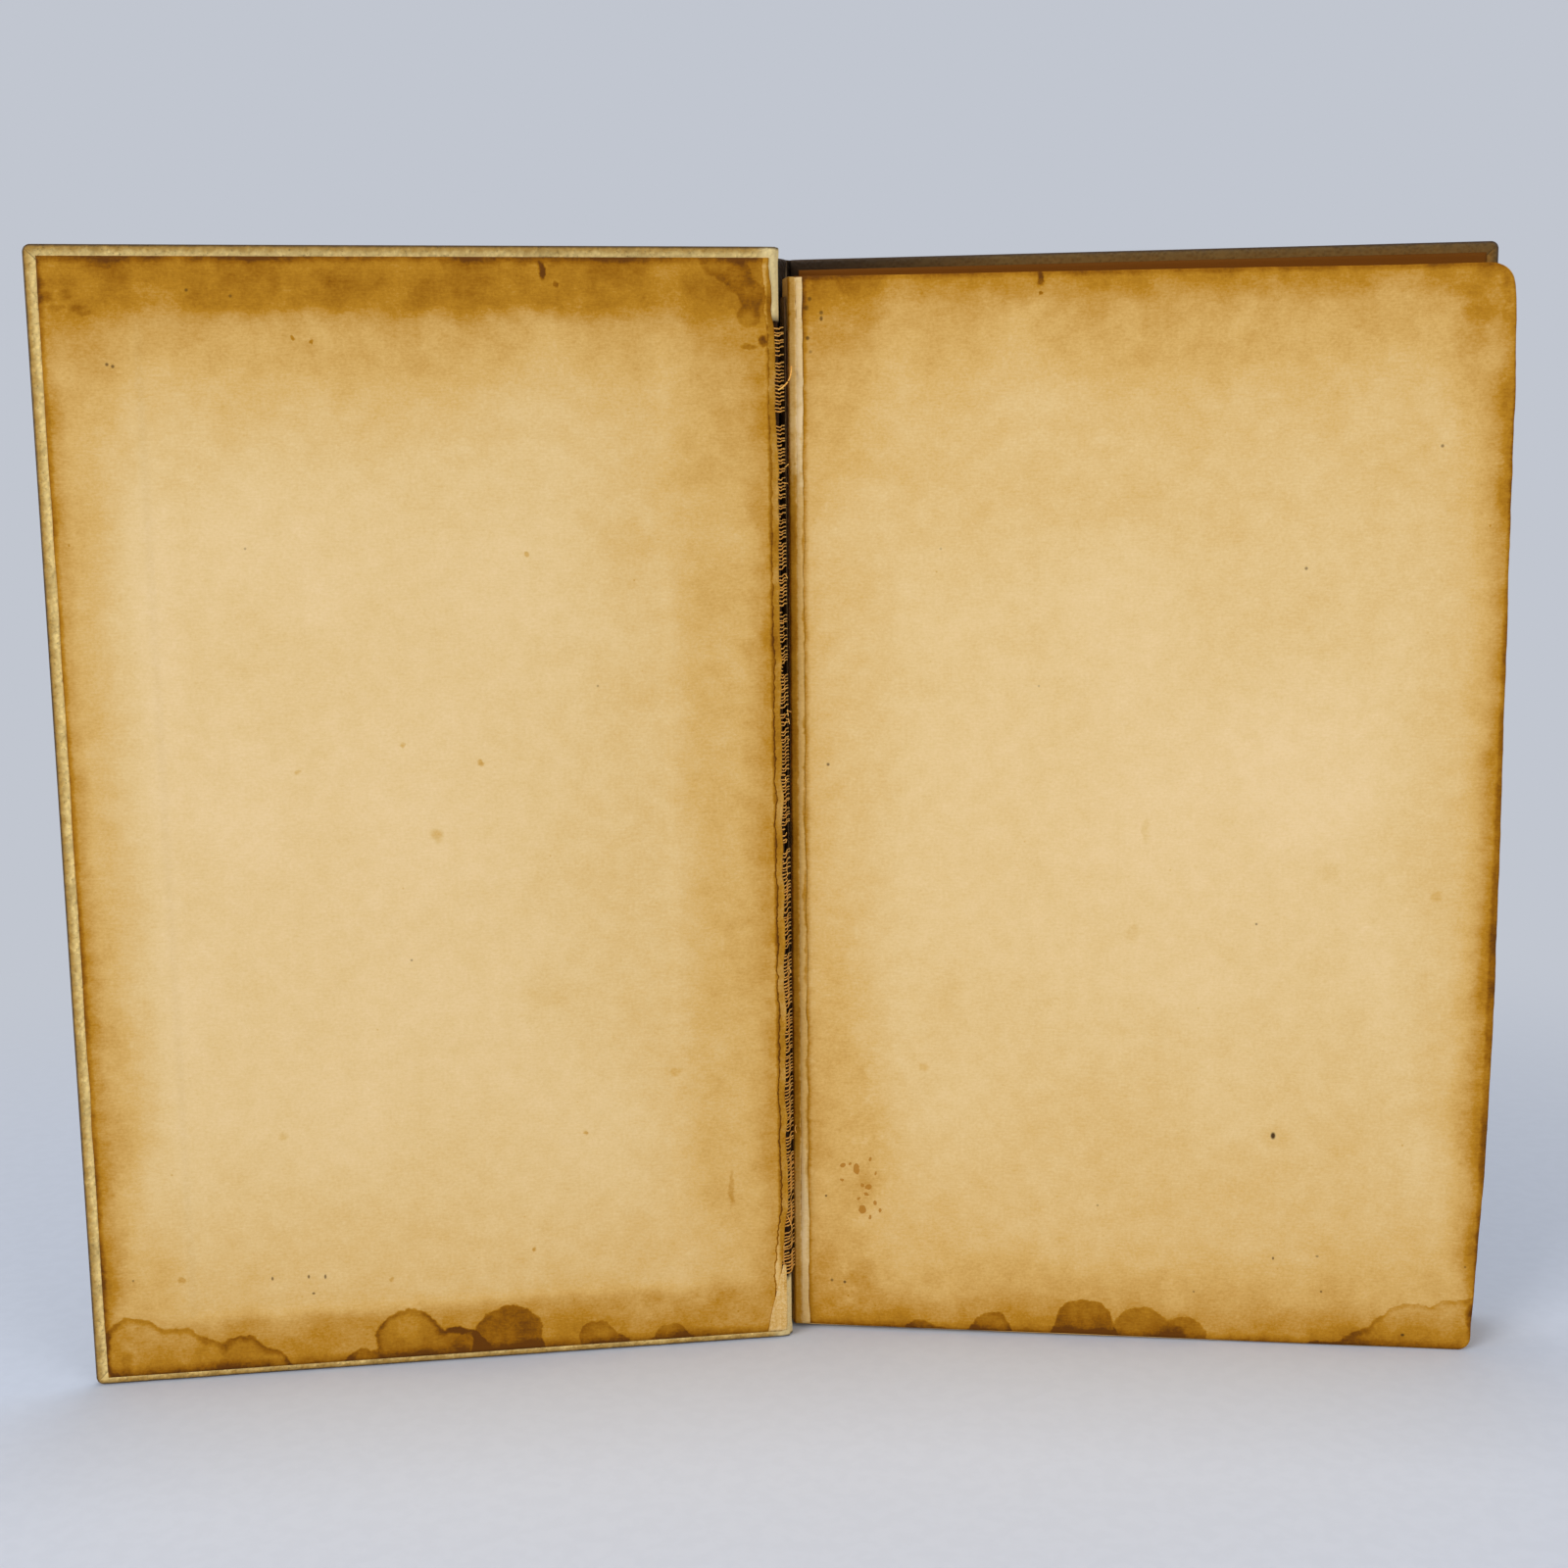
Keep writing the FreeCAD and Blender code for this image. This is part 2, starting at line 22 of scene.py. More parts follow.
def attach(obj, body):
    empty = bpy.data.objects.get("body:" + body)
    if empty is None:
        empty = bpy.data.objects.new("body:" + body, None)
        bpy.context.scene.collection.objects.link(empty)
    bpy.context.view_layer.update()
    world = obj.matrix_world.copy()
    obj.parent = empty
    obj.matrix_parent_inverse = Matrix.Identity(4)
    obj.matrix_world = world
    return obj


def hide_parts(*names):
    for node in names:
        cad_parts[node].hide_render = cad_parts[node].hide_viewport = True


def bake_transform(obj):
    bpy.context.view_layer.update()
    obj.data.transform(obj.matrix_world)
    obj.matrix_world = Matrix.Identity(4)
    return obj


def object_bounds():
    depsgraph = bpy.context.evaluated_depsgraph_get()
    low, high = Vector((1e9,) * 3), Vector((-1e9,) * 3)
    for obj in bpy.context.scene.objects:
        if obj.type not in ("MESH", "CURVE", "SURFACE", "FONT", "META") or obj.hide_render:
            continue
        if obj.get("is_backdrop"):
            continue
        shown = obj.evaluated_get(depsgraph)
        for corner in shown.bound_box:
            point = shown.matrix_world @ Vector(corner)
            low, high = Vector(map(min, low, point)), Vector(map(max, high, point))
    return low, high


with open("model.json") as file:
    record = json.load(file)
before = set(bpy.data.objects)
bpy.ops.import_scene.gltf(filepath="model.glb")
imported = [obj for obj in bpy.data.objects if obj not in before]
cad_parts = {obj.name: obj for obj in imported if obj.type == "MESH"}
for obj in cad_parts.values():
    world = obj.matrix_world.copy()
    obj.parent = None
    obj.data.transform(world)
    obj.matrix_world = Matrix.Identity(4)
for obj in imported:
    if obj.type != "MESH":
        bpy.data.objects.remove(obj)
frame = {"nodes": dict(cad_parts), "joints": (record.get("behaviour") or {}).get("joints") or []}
cad_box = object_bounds()
MM = 0.001

# %% [markdown]
# ## Where things are
#
# Three parts move against each other, so each has a frame of its own. A cover is measured
# closed: out from its hinge line, up from the tail, and a level from the outer cloth towards
# the leaves. The hinge lines and the opening angle are read from the joints. The leaves have
# dropped a third of a degree at their fore edge, as loose leaves do, so their frame is turned.

# %% Frames of the covers and the leaves
joints = {joint["name"]: joint for joint in frame["joints"]}
COVER_TALL = 235.0
COVER_WIDE = 148.8
SAG = math.radians(0.34)
LEAF_WIDE = 146.2
LEAF_TALL = 228.6
GUTTER_BEHIND_HINGE = 0.53


class Cover:
    """One cover: its hinge line, and the directions out to its fore edge and in to the leaves."""

    def __init__(self, name, opened, facing):
        self.name = name
        self.body = f"{name}_cover"
        self.hinge = np.array(joints[f"{name}_joint"]["pos_m"][:2]) / MM
        self.out = np.array([math.cos(opened), math.sin(opened)])
        self.inward = facing * np.array([-self.out[1], self.out[0]])

    def place(self, out, level, up):
        """Points in the row frame, in millimetres."""
        out, level, up = np.broadcast_arrays(out, level, up)
        plan = self.hinge + out[..., None] * self.out + level[..., None] * self.inward
        return np.concatenate([plan, up[..., None]], -1)


OPEN = math.radians(joints["front_joint"]["range_deg"][1])
front = Cover("front", -OPEN, 1)
rear = Cover("rear", 0.0, -1)
gutter = np.array([front.hinge[0] + GUTTER_BEHIND_HINGE, 0.0, LEAF_WIDE * math.sin(SAG)])


def leaf_place(out, through, up):
    """Points of the leaves in the row frame, from their own out, through and up."""
    out, through, up = np.broadcast_arrays(out, through, up)
    turned = [out * math.cos(SAG) + up * math.sin(SAG), through, up * math.cos(SAG) - out * math.sin(SAG)]
    return gutter + np.stack(turned, -1)


print("front cover stands open by", round(math.degrees(OPEN), 1), "degrees")

# %% [markdown]
# ## The camera first
#
# The camera stands where the photographer stood: a little left of the middle, near the head
# of the book and looking slightly down. It comes first because it has a second use. Stains
# are read off the photograph in its own pixels, and a ray through each pixel finds the spot
# on the paper, so a stain stays on its sheet whatever the view.

# %% Camera
PHOTO = 1600
SENSOR = 36.0
FOCAL_PIXELS = 2026.7
camera_place = Vector((51.41, -429.1, 184.3)) * MM
yaw, pitch, roll = (math.radians(angle) for angle in (-6.56, 8.24, -0.76))
looking = Vector((math.sin(yaw) * math.cos(pitch), math.cos(yaw) * math.cos(pitch), -math.sin(pitch)))
level_right = Vector((math.cos(yaw), -math.sin(yaw), 0))
level_up = level_right.cross(looking)
right = math.cos(roll) * level_right + math.sin(roll) * level_up
up = math.cos(roll) * level_up - math.sin(roll) * level_right

camera = bpy.data.objects.new("camera", bpy.data.cameras.new("camera"))
bpy.context.scene.collection.objects.link(camera)
camera.data.sensor_width = SENSOR
camera.data.lens = FOCAL_PIXELS * SENSOR / PHOTO
camera.data.clip_start = 0.01
camera.matrix_world = Matrix.Translation(camera_place) @ Matrix((right, up, -looking)).transposed().to_4x4()
bpy.context.scene.camera = camera
print("lens:", round(camera.data.lens, 1), "mm")

# %% From a pixel of the photograph to a spot on a sheet
PAGE_THROUGH = -8.65
PASTE_LEVEL = 2.6


def ray(pixel):
    """The direction from the camera through a pixel."""
    across, down = (float(value - PHOTO / 2) / FOCAL_PIXELS for value in pixel)
    return np.array(looking + across * right - down * up)


def on_page(pixel):
    """The spot on the first leaf: millimetres out from the gutter and up from the tail."""
    start, way = np.array(camera_place) / MM, ray(pixel)
    spot = start + way * (PAGE_THROUGH - start[1]) / way[1] - gutter
    across, high = spot[0], spot[2]
    return (across * math.cos(SAG) - high * math.sin(SAG), high * math.cos(SAG) + across * math.sin(SAG))


def on_paste_down(pixel):
    """The spot on the front paste-down: millimetres out from the hinge line and up from the tail."""
    start, way = np.array(camera_place) / MM, ray(pixel)
    near = PASTE_LEVEL - (start[:2] - front.hinge) @ front.inward
    spot = start + way * near / (way[:2] @ front.inward)
    return ((spot[:2] - front.hinge) @ front.out, spot[2])


print("a pixel at the gutter:", [round(float(v), 1) for v in on_page((820, 800))])

# %% [markdown]
# ## Helpers for meshes
#
# Nearly every piece here is a sheet, so one helper turns a grid of points into a mesh. It also
# lays each point's flat place, in millimetres, into a UV map named `flat`. The finishes of
# sheets read only that map, so grain and stains keep their size and stay put when a cover
# moves. Random lumps come from a small seeded table, so each run gives the same book.

# %% Mesh helpers
TABLE = 64


def rough(across, along, size, seed):
    """Smooth random heights from -1 to 1, in lumps of about that size."""
    table = np.random.default_rng(seed).uniform(-1, 1, (TABLE, TABLE))
    across, along = np.broadcast_arrays(np.asarray(across, float) / size, np.asarray(along, float) / size)
    column, row = np.floor(across).astype(int), np.floor(along).astype(int)
    over, beyond = across - column, along - row
    over, beyond = over * over * (3 - 2 * over), beyond * beyond * (3 - 2 * beyond)

    def at(i, j):
        return table[(column + i) % TABLE, (row + j) % TABLE]

    low = at(0, 0) * (1 - over) + at(1, 0) * over
    high = at(0, 1) * (1 - over) + at(1, 1) * over
    return low * (1 - beyond) + high * beyond


def grid_faces(rows, columns, first=0, closed=False):
    """The four corners of each face of a grid, which may close on itself across its rows."""
    number = first + np.arange(rows * columns).reshape(rows, columns)
    if closed:
        number = np.concatenate([number, number[:1]])
    return np.stack([number[:-1, :-1], number[1:, :-1], number[1:, 1:], number[:-1, 1:]], -1).reshape(-1, 4)


def piece(name, points, faces, flat, finishes, sharp=40, weld=0.0, **marks):
    """A mesh object from points in millimetres, with its flat map, its finishes and any point marks."""
    mesh = bpy.data.meshes.new(name)
    mesh.from_pydata((np.asarray(points).reshape(-1, 3) * MM).tolist(), [], [list(f) for f in faces])
    corners = np.empty(len(mesh.loops), int)
    mesh.loops.foreach_get("vertex_index", corners)
    layer = mesh.uv_layers.new(name="flat")
    layer.data.foreach_set("uv", np.asarray(flat, float).reshape(-1, 2)[corners].ravel())
    for title, values in marks.items():
        mark = mesh.attributes.new(title, "FLOAT", "POINT")
        mark.data.foreach_set("value", np.asarray(values, np.float32).ravel())
    for finish in finishes:
        mesh.materials.append(finish)
    if weld:
        work = bmesh.new()
        work.from_mesh(mesh)
        bmesh.ops.remove_doubles(work, verts=work.verts, dist=weld * MM)
        work.to_mesh(mesh)
        work.free()
    mesh.shade_smooth()
    mesh.set_sharp_from_angle(angle=math.radians(sharp))
    made = bpy.data.objects.new(name, mesh)
    bpy.context.scene.collection.objects.link(made)
    return made


def distance_along(points):
    """How far each point of a line lies from its start, measured along the line."""
    return np.concatenate([[0], np.cumsum(np.linalg.norm(np.diff(points, axis=0), axis=1))])


def smoothed(line, times):
    """The line with its inner points drawn towards their neighbours, several times."""
    for _ in range(times):
        line[1:-1] = (line[:-2] + 2 * line[1:-1] + line[2:]) / 4
    return line


def corner_ease(inset, rise, radius):
    """Insets near a square corner moved into a round one."""
    near = (inset < radius) & (rise < radius)
    x = np.where(near, 1 - inset / radius, 0)
    y = np.where(near, 1 - rise / radius, 0)
    return (np.where(near, radius * (1 - x * np.sqrt(1 - y * y / 2)), inset),
            np.where(near, radius * (1 - y * np.sqrt(1 - x * x / 2)), rise))


def thicken(made, thick, back_finish=0):
    """Gives a sheet its thickness behind its face, with another finish on its back if named."""
    solid = made.modifiers.new("thickness", "SOLIDIFY")
    solid.thickness = thick * MM
    solid.offset = -1
    solid.use_even_offset = False
    solid.material_offset = back_finish
    return made


def step(value, at, soft=0.5):
    """A smooth step from 0 to 1 at a place."""
    share = np.clip((value - at) / soft + 0.5, 0, 1)
    return share * share * (3 - 2 * share)


def stops(*runs):
    """Numbers from a first value on, each run given as its far end and its step."""
    values = [runs[0]]
    for end, step in runs[1:]:
        count = max(1, round(abs(end - values[-1]) / step))
        values += list(np.linspace(values[-1], end, count + 1)[1:])
    return np.array(values)


# %% [markdown]
# ## Helpers for finishes
#
# A finish is a tree of nodes. Small helpers keep the trees readable: one adds a node and fills
# its inputs with values or with other nodes' outputs, a few do sums and noise, and one starts
# a node group with named inputs and outputs. Colours are written as a painter would pick them
# from a screen, from 0 to 255, and turned into the linear values that Blender works in.

# %% Node helpers


def colour(red, green, blue):
    """A screen colour as linear red, green, blue and full opacity."""
    shares = [value / 255 for value in (red, green, blue)]
    return tuple(s / 12.92 if s <= 0.04045 else ((s + 0.055) / 1.055) ** 2.4 for s in shares) + (1.0,)


def add(tree, kind, inputs=None, **settings):
    """A new node with its settings, and inputs that are values or other nodes' outputs."""
    made = tree.nodes.new(kind)
    for name, value in settings.items():
        setattr(made, name, value)
    for name, value in (inputs or {}).items():
        if isinstance(value, bpy.types.NodeSocket):
            tree.links.new(value, made.inputs[name])
        else:
            made.inputs[name].default_value = value
    return made


def sums(tree, operation, first, second=0.0, third=0.0, clamp=False):
    """The output of one Math node."""
    inputs = {0: first, 1: second, 2: third}
    return add(tree, "ShaderNodeMath", inputs, operation=operation, use_clamp=clamp).outputs[0]


def one_less(tree, share):
    """What is left of 1."""
    return sums(tree, "SUBTRACT", 1.0, share)


def vector(tree, operation, first, second=(0, 0, 0)):
    """The vector output of one Vector Math node."""
    return add(tree, "ShaderNodeVectorMath", {0: first, 1: second}, operation=operation).outputs[0]


def parts_of(tree, place):
    """The X, Y and Z of a place."""
    return add(tree, "ShaderNodeSeparateXYZ", {0: place}).outputs


def spread(tree, value, low, high, to_low=0.0, to_high=1.0):
    """The value taken smoothly from one range to another."""
    inputs = {"Value": value, "From Min": low, "From Max": high, "To Min": to_low, "To Max": to_high}
    return add(tree, "ShaderNodeMapRange", inputs, interpolation_type="SMOOTHSTEP").outputs[0]


def noise(tree, place, scale, detail=3.0, rough_share=0.55):
    """Cloudy noise from 0 to 1, with its scale in lumps per millimetre."""
    inputs = {"Vector": place, "Scale": scale, "Detail": detail, "Roughness": rough_share}
    return add(tree, "ShaderNodeTexNoise", inputs)


def mixed(tree, share, first, second, blend_type="MIX"):
    """Two colours mixed by a share from 0 to 1."""
    made = add(tree, "ShaderNodeMix", data_type="RGBA", blend_type=blend_type, clamp_factor=True)
    for name, value in (("Factor_Float", share), ("A_Color", first), ("B_Color", second)):
        socket = next(s for s in made.inputs if s.identifier == name)
        if isinstance(value, bpy.types.NodeSocket):
            tree.links.new(value, socket)
        else:
            socket.default_value = value
    return next(s for s in made.outputs if s.identifier == "Result_Color")


def ramp(tree, value, *steps):
    """A colour ramp over steps of a position and a colour."""
    made = add(tree, "ShaderNodeValToRGB", {"Fac": value})
    band = made.color_ramp
    while len(band.elements) < len(steps):
        band.elements.new(1.0)
    for element, (position, tint) in zip(band.elements, steps):
        element.position = position
        element.color = tint
    return made.outputs["Color"]


def group(name, inputs, outputs):
    """A new node group, with its input node and its output node."""
    tree = bpy.data.node_groups.new(name, "ShaderNodeTree")
    for title, kind, value in inputs:
        socket = tree.interface.new_socket(title, in_out="INPUT", socket_type=f"NodeSocket{kind}")
        socket.default_value = value
    for title, kind in outputs:
        tree.interface.new_socket(title, in_out="OUTPUT", socket_type=f"NodeSocket{kind}")
    return tree, add(tree, "NodeGroupInput").outputs, add(tree, "NodeGroupOutput")


def placed(tree, made, inputs):
    """The outputs of a group placed in a tree, with its inputs filled."""
    holder = tree.nodes.new("ShaderNodeGroup")
    holder.node_tree = made
    for name, value in inputs.items():
        if isinstance(value, bpy.types.NodeSocket):
            tree.links.new(value, holder.inputs[name])
        else:
            holder.inputs[name].default_value = value
    return holder.outputs


def new_finish(name):
    """A new material, with its node tree and its shader."""
    made = bpy.data.materials.new(name)
    made.use_nodes = True
    tree = made.node_tree
    shader = next(n for n in tree.nodes if n.type == "BSDF_PRINCIPLED")
    return made, tree, shader


def flat_place(tree):
    """The place on the flat sheet, in millimetres."""
    return add(tree, "ShaderNodeUVMap", uv_map="flat").outputs["UV"]


def solid_place(tree):
    """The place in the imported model, in millimetres, for pieces that have no flat map."""
    spot = add(tree, "ShaderNodeTexCoord").outputs["Object"]
    return vector(tree, "MULTIPLY", spot, (1 / MM,) * 3)


def bumped(tree, height, depth, shader):
    """Joins a height in millimetres times depth to the shader's normal."""
    bump = add(tree, "ShaderNodeBump", {"Height": height, "Distance": depth * MM, "Strength": 1.0})
    tree.links.new(bump.outputs["Normal"], shader.inputs["Normal"])


# %% [markdown]
# ## Effects shared by the papers
#
# Old paper darkens from its edges, where air and light reach it, and wherever glued cloth lies
# behind it. Water carries that brown along and leaves it where the damp front stopped, as a
# dark line round a paler pool. Each effect is a group that gives only a mask, so that every
# paper can use it with its own reach and strength. All masks add to one number, the age of the
# paper, and a single ramp turns age into colour. On a few sheets some edge bands stand for
# painted shade as well as age.

# %% Group: uneven place
tree, given, result = group(
    "uneven_place",
    [("Place", "Vector", (0, 0, 0)), ("Lumps", "Float", 0.4), ("Shift", "Float", 1.0)],
    [("Place", "Vector")],
)
drift = noise(tree, given["Place"], given["Lumps"], 4.0, 0.6).outputs["Color"]
drift = vector(tree, "SUBTRACT", drift, (0.5, 0.5, 0.5))
scaled = add(tree, "ShaderNodeVectorMath", {0: drift, "Scale": given["Shift"]}, operation="SCALE").outputs[0]
tree.links.new(vector(tree, "ADD", given["Place"], scaled), result.inputs["Place"])
uneven_place = tree

# %% Group: bands along the edges
SIDES = ("Gutter", "Fore edge", "Tail", "Head")
tree, given, result = group(
    "toned_edges",
    [("Place", "Vector", (0, 0, 0)), ("Low corner", "Vector", (0, 0, 0))]
    + [("High corner", "Vector", (150, 230, 0))]
    + [(f"{side} reach", "Float", 10.0) for side in SIDES]
    + [("Softness", "Float", 1.0)],
    [("Mask", "Float")],
)
low_parts = parts_of(tree, vector(tree, "SUBTRACT", given["Place"], given["Low corner"]))
high_parts = parts_of(tree, vector(tree, "SUBTRACT", given["High corner"], given["Place"]))
mask = 0.0
for side, distance in zip(SIDES, (low_parts["X"], high_parts["X"], low_parts["Y"], high_parts["Y"])):
    reach = sums(tree, "MAXIMUM", given[f"{side} reach"], 0.001)
    inner = sums(tree, "MULTIPLY", reach, one_less(tree, given["Softness"]))
    near = one_less(tree, spread(tree, distance, inner, reach))
    wanted = sums(tree, "GREATER_THAN", given[f"{side} reach"], 0.01)
    mask = sums(tree, "MAXIMUM", mask, sums(tree, "MULTIPLY", near, wanted))
tree.links.new(mask, result.inputs["Mask"])
toned_edges = tree

# %% Group: tide mark
tree, given, result = group(
    "tide_mark",
    [("Distance", "Float", 0.0), ("Line width", "Float", 1.0), ("Fade", "Float", 8.0)],
    [("Line", "Float"), ("Pool", "Float")],
)
inside = sums(tree, "MULTIPLY", given["Distance"], -1.0)
outer_side = spread(tree, inside, sums(tree, "MULTIPLY", given["Line width"], -0.35), 0.0)
inner_side = one_less(tree, spread(tree, inside, 0.0, given["Line width"]))
tree.links.new(sums(tree, "MULTIPLY", outer_side, inner_side), result.inputs["Line"])
fading = one_less(tree, spread(tree, inside, 0.0, given["Fade"]))
tree.links.new(sums(tree, "MULTIPLY", outer_side, fading), result.inputs["Pool"])
tide_mark = tree

# %% Group: one spot
tree, given, result = group(
    "spot",
    [("Place", "Vector", (0, 0, 0)), ("Centre", "Vector", (0, 0, 0)), ("Size", "Vector", (1, 1, 1))],
    [("Mask", "Float"), ("Distance", "Float")],
)
away = vector(tree, "SUBTRACT", given["Place"], given["Centre"])
away = vector(tree, "DIVIDE", away, given["Size"])
reach = add(tree, "ShaderNodeVectorMath", {0: away}, operation="LENGTH").outputs["Value"]
tree.links.new(one_less(tree, spread(tree, reach, 0.45, 1.15)), result.inputs["Mask"])
edge = sums(tree, "MULTIPLY", sums(tree, "SUBTRACT", reach, 1.0), parts_of(tree, given["Size"])["X"])
tree.links.new(edge, result.inputs["Distance"])
spot_group = tree

# %% Group: paper fibres
tree, given, result = group(
    "paper_fibres",
    [("Place", "Vector", (0, 0, 0)), ("Mottle", "Float", 0.06)],
    [("Tone", "Float"), ("Height", "Float"), ("Fleck", "Float")],
)
clouds = noise(tree, given["Place"], 0.03, 4.0, 0.6).outputs["Fac"]
patches = noise(tree, given["Place"], 0.22, 4.0, 0.6).outputs["Fac"]
fine = noise(tree, given["Place"], 1.6, 4.0, 0.7).outputs["Fac"]
fibre_place = vector(tree, "MULTIPLY", given["Place"], (0.5, 2.6, 1.0))
fibres = noise(tree, fibre_place, 1.1, 3.0, 0.7).outputs["Fac"]
grainy = sums(tree, "MULTIPLY", given["Mottle"], 1.5)
uneven = 0.0
for layer in (clouds, patches, fine, fibres):
    share = grainy if layer == fine else given["Mottle"]
    uneven = sums(tree, "MULTIPLY_ADD", sums(tree, "SUBTRACT", layer, 0.5), share, uneven)
tree.links.new(uneven, result.inputs["Tone"])
tree.links.new(sums(tree, "MULTIPLY_ADD", fibres, 0.5, fine), result.inputs["Height"])
flecks = 0.0
for cells_per_mm, widest, strength in ((0.16, 0.055, 1.0), (0.5, 0.11, 0.6)):
    cells = add(tree, "ShaderNodeTexVoronoi", {"Vector": given["Place"], "Scale": cells_per_mm})
    chance = add(tree, "ShaderNodeSeparateColor", {0: cells.outputs["Color"]}).outputs["Red"]
    near = one_less(tree, spread(tree, cells.outputs["Distance"], 0.02, widest))
    near = sums(tree, "MULTIPLY", near, spread(tree, chance, 0.80, 0.92))
    flecks = sums(tree, "MULTIPLY_ADD", near, strength, flecks)
tree.links.new(flecks, result.inputs["Fleck"])
paper_fibres = tree
print("shared paper effects:", [g.name for g in bpy.data.node_groups])

# %% [markdown]
# ## Finish: the two open endpapers
#
# Both open sheets come from one function, because they were one folded sheet when the book was
# made. What differs is where each has darkened and what was spilt on it. Pools are circles that
# run into each other: the smooth minimum of their distances draws one wavy shore, and the tide
# mark group darkens it. Spots are listed by pixel, with a width and a height in pixels, and
# an age that each adds.

# %% Endpaper finish
PIXELS_PER_MM = 5.04
# Colours of paper by age, fresh to deep brown; where bands paint shade, their darkness runs through the same steps.
AGES = (
    (0.00, colour(231, 200, 148)),
    (0.14, colour(223, 190, 131)),
    (0.32, colour(211, 169, 97)),
    (0.60, colour(179, 125, 28)),
    (0.82, colour(144, 90, 2)),
    (1.00, colour(100, 56, 4)),
)


def flat_spot(cast, pixel):
    """A pixel's spot on a sheet as a vector for a node."""
    across, high = cast(pixel)
    return (float(across), float(high), 0.0)


def shore(tree, place, cast, pools):
    """The distance from the shore of several round pools that run together."""
    nearest = None
    for x, y, radius in pools:
        size = (radius / PIXELS_PER_MM,) * 3
        disc = placed(tree, spot_group, {"Place": place, "Centre": flat_spot(cast, (x, y)), "Size": size})
        reach = disc["Distance"]
        nearest = reach if nearest is None else sums(tree, "SMOOTH_MIN", nearest, reach, 1.6)
    return nearest


def spots(tree, place, cast, listed):
    """The summed age of all listed spots: x, y, width, height and strength."""
    total = 0.0
    for x, y, wide, tall, strength in listed:
        size = (wide / 2 / PIXELS_PER_MM, tall / 2 / PIXELS_PER_MM, 1.0)
        mark = placed(tree, spot_group, {"Place": place, "Centre": flat_spot(cast, (x, y)), "Size": size})
        total = sums(tree, "MULTIPLY_ADD", mark["Mask"], strength, total)
    return total


def endpaper(name, corners, bands, cast=None, pools=(), marks=(), specks=(), chips=(), fresh=0.10, torn=False):
    """Aged paper: toned bands, pools with tide lines, spots, dark specks, fibres and mottling; on some sheets bands
    also paint shade.
    """
    made, tree, shader = new_finish(name)
    place = flat_place(tree)
    close = placed(tree, uneven_place, {"Place": place, "Lumps": 0.55, "Shift": 1.1})["Place"]
    wavy = placed(tree, uneven_place, {"Place": close, "Lumps": 0.08, "Shift": 4.0})["Place"]
    ragged = placed(tree, uneven_place, {"Place": close, "Lumps": 0.17, "Shift": 3.4})["Place"]
    fibres = placed(tree, paper_fibres, {"Place": place, "Mottle": 0.2})
    toned = 0.0
    for reaches, softness, strength in bands:
        narrow = max(reaches) < 5
        inputs = {"Place": close if narrow else wavy}
        inputs.update({"Low corner": (*corners[0], 0), "High corner": (*corners[1], 0)})
        inputs.update({f"{side} reach": reach for side, reach in zip(SIDES, reaches)})
        inputs["Softness"] = softness
        mask = placed(tree, toned_edges, inputs)["Mask"]
        toned = sums(tree, "MULTIPLY_ADD", mask, strength, toned)
    for group_of_pools, line, pool, width, fade in pools:
        away = shore(tree, ragged, cast, group_of_pools)
        tide = placed(tree, tide_mark, {"Distance": away, "Line width": width, "Fade": fade})
        toned = sums(tree, "MULTIPLY_ADD", tide["Line"], line, toned)
        toned = sums(tree, "MULTIPLY_ADD", tide["Pool"], pool, toned)
    if marks:
        toned = sums(tree, "ADD", toned, spots(tree, ragged, cast, marks))
    patchy = spread(tree, noise(tree, place, 0.07, 5.0, 0.65).outputs["Fac"], 0.3, 0.7, 0.8, 1.2)
    age = sums(tree, "MULTIPLY_ADD", toned, patchy, sums(tree, "ADD", fibres["Tone"], fresh))
    age = sums(tree, "MULTIPLY_ADD", fibres["Fleck"], 0.2, age)
    if torn:
        near = add(tree, "ShaderNodeAttribute", attribute_name="near_tear").outputs["Fac"]
        wander = sums(tree, "SUBTRACT", noise(tree, place, 0.7, 3.0).outputs["Fac"], 0.5)
        near = sums(tree, "MULTIPLY_ADD", wander, 0.5, near)
        bared = spread(tree, near, 0.32, 0.42)
        brink = sums(tree, "MULTIPLY", spread(tree, near, 0.20, 0.31), one_less(tree, bared))
        high = parts_of(tree, place)["Y"]
        brink = sums(tree, "MULTIPLY", brink, spread(tree, high, 90.0, 190.0, 0.42, 0.05))
        age = sums(tree, "MULTIPLY_ADD", bared, -0.2, age)
        age = sums(tree, "ADD", age, brink)
    tint = ramp(tree, sums(tree, "ADD", age, 0.0, clamp=True), *AGES)
    if specks:
        dots = sums(tree, "ADD", spots(tree, place, cast, specks), 0.0, clamp=True)
        tint = mixed(tree, dots, tint, colour(56, 32, 8))
    if chips:
        flaked = spread(tree, spots(tree, close, cast, chips), 0.3, 0.5)
        tint = mixed(tree, sums(tree, "MULTIPLY", flaked, 0.85), tint, colour(170, 112, 28))
    tree.links.new(tint, shader.inputs["Base Color"])
    rough_tone = spread(tree, fibres["Height"], 0.3, 1.2, 0.92, 0.78)
    tree.links.new(rough_tone, shader.inputs["Roughness"])
    shader.inputs["Specular IOR Level"].default_value = 0.12
    bumped(tree, fibres["Height"], 0.06, shader)
    return made


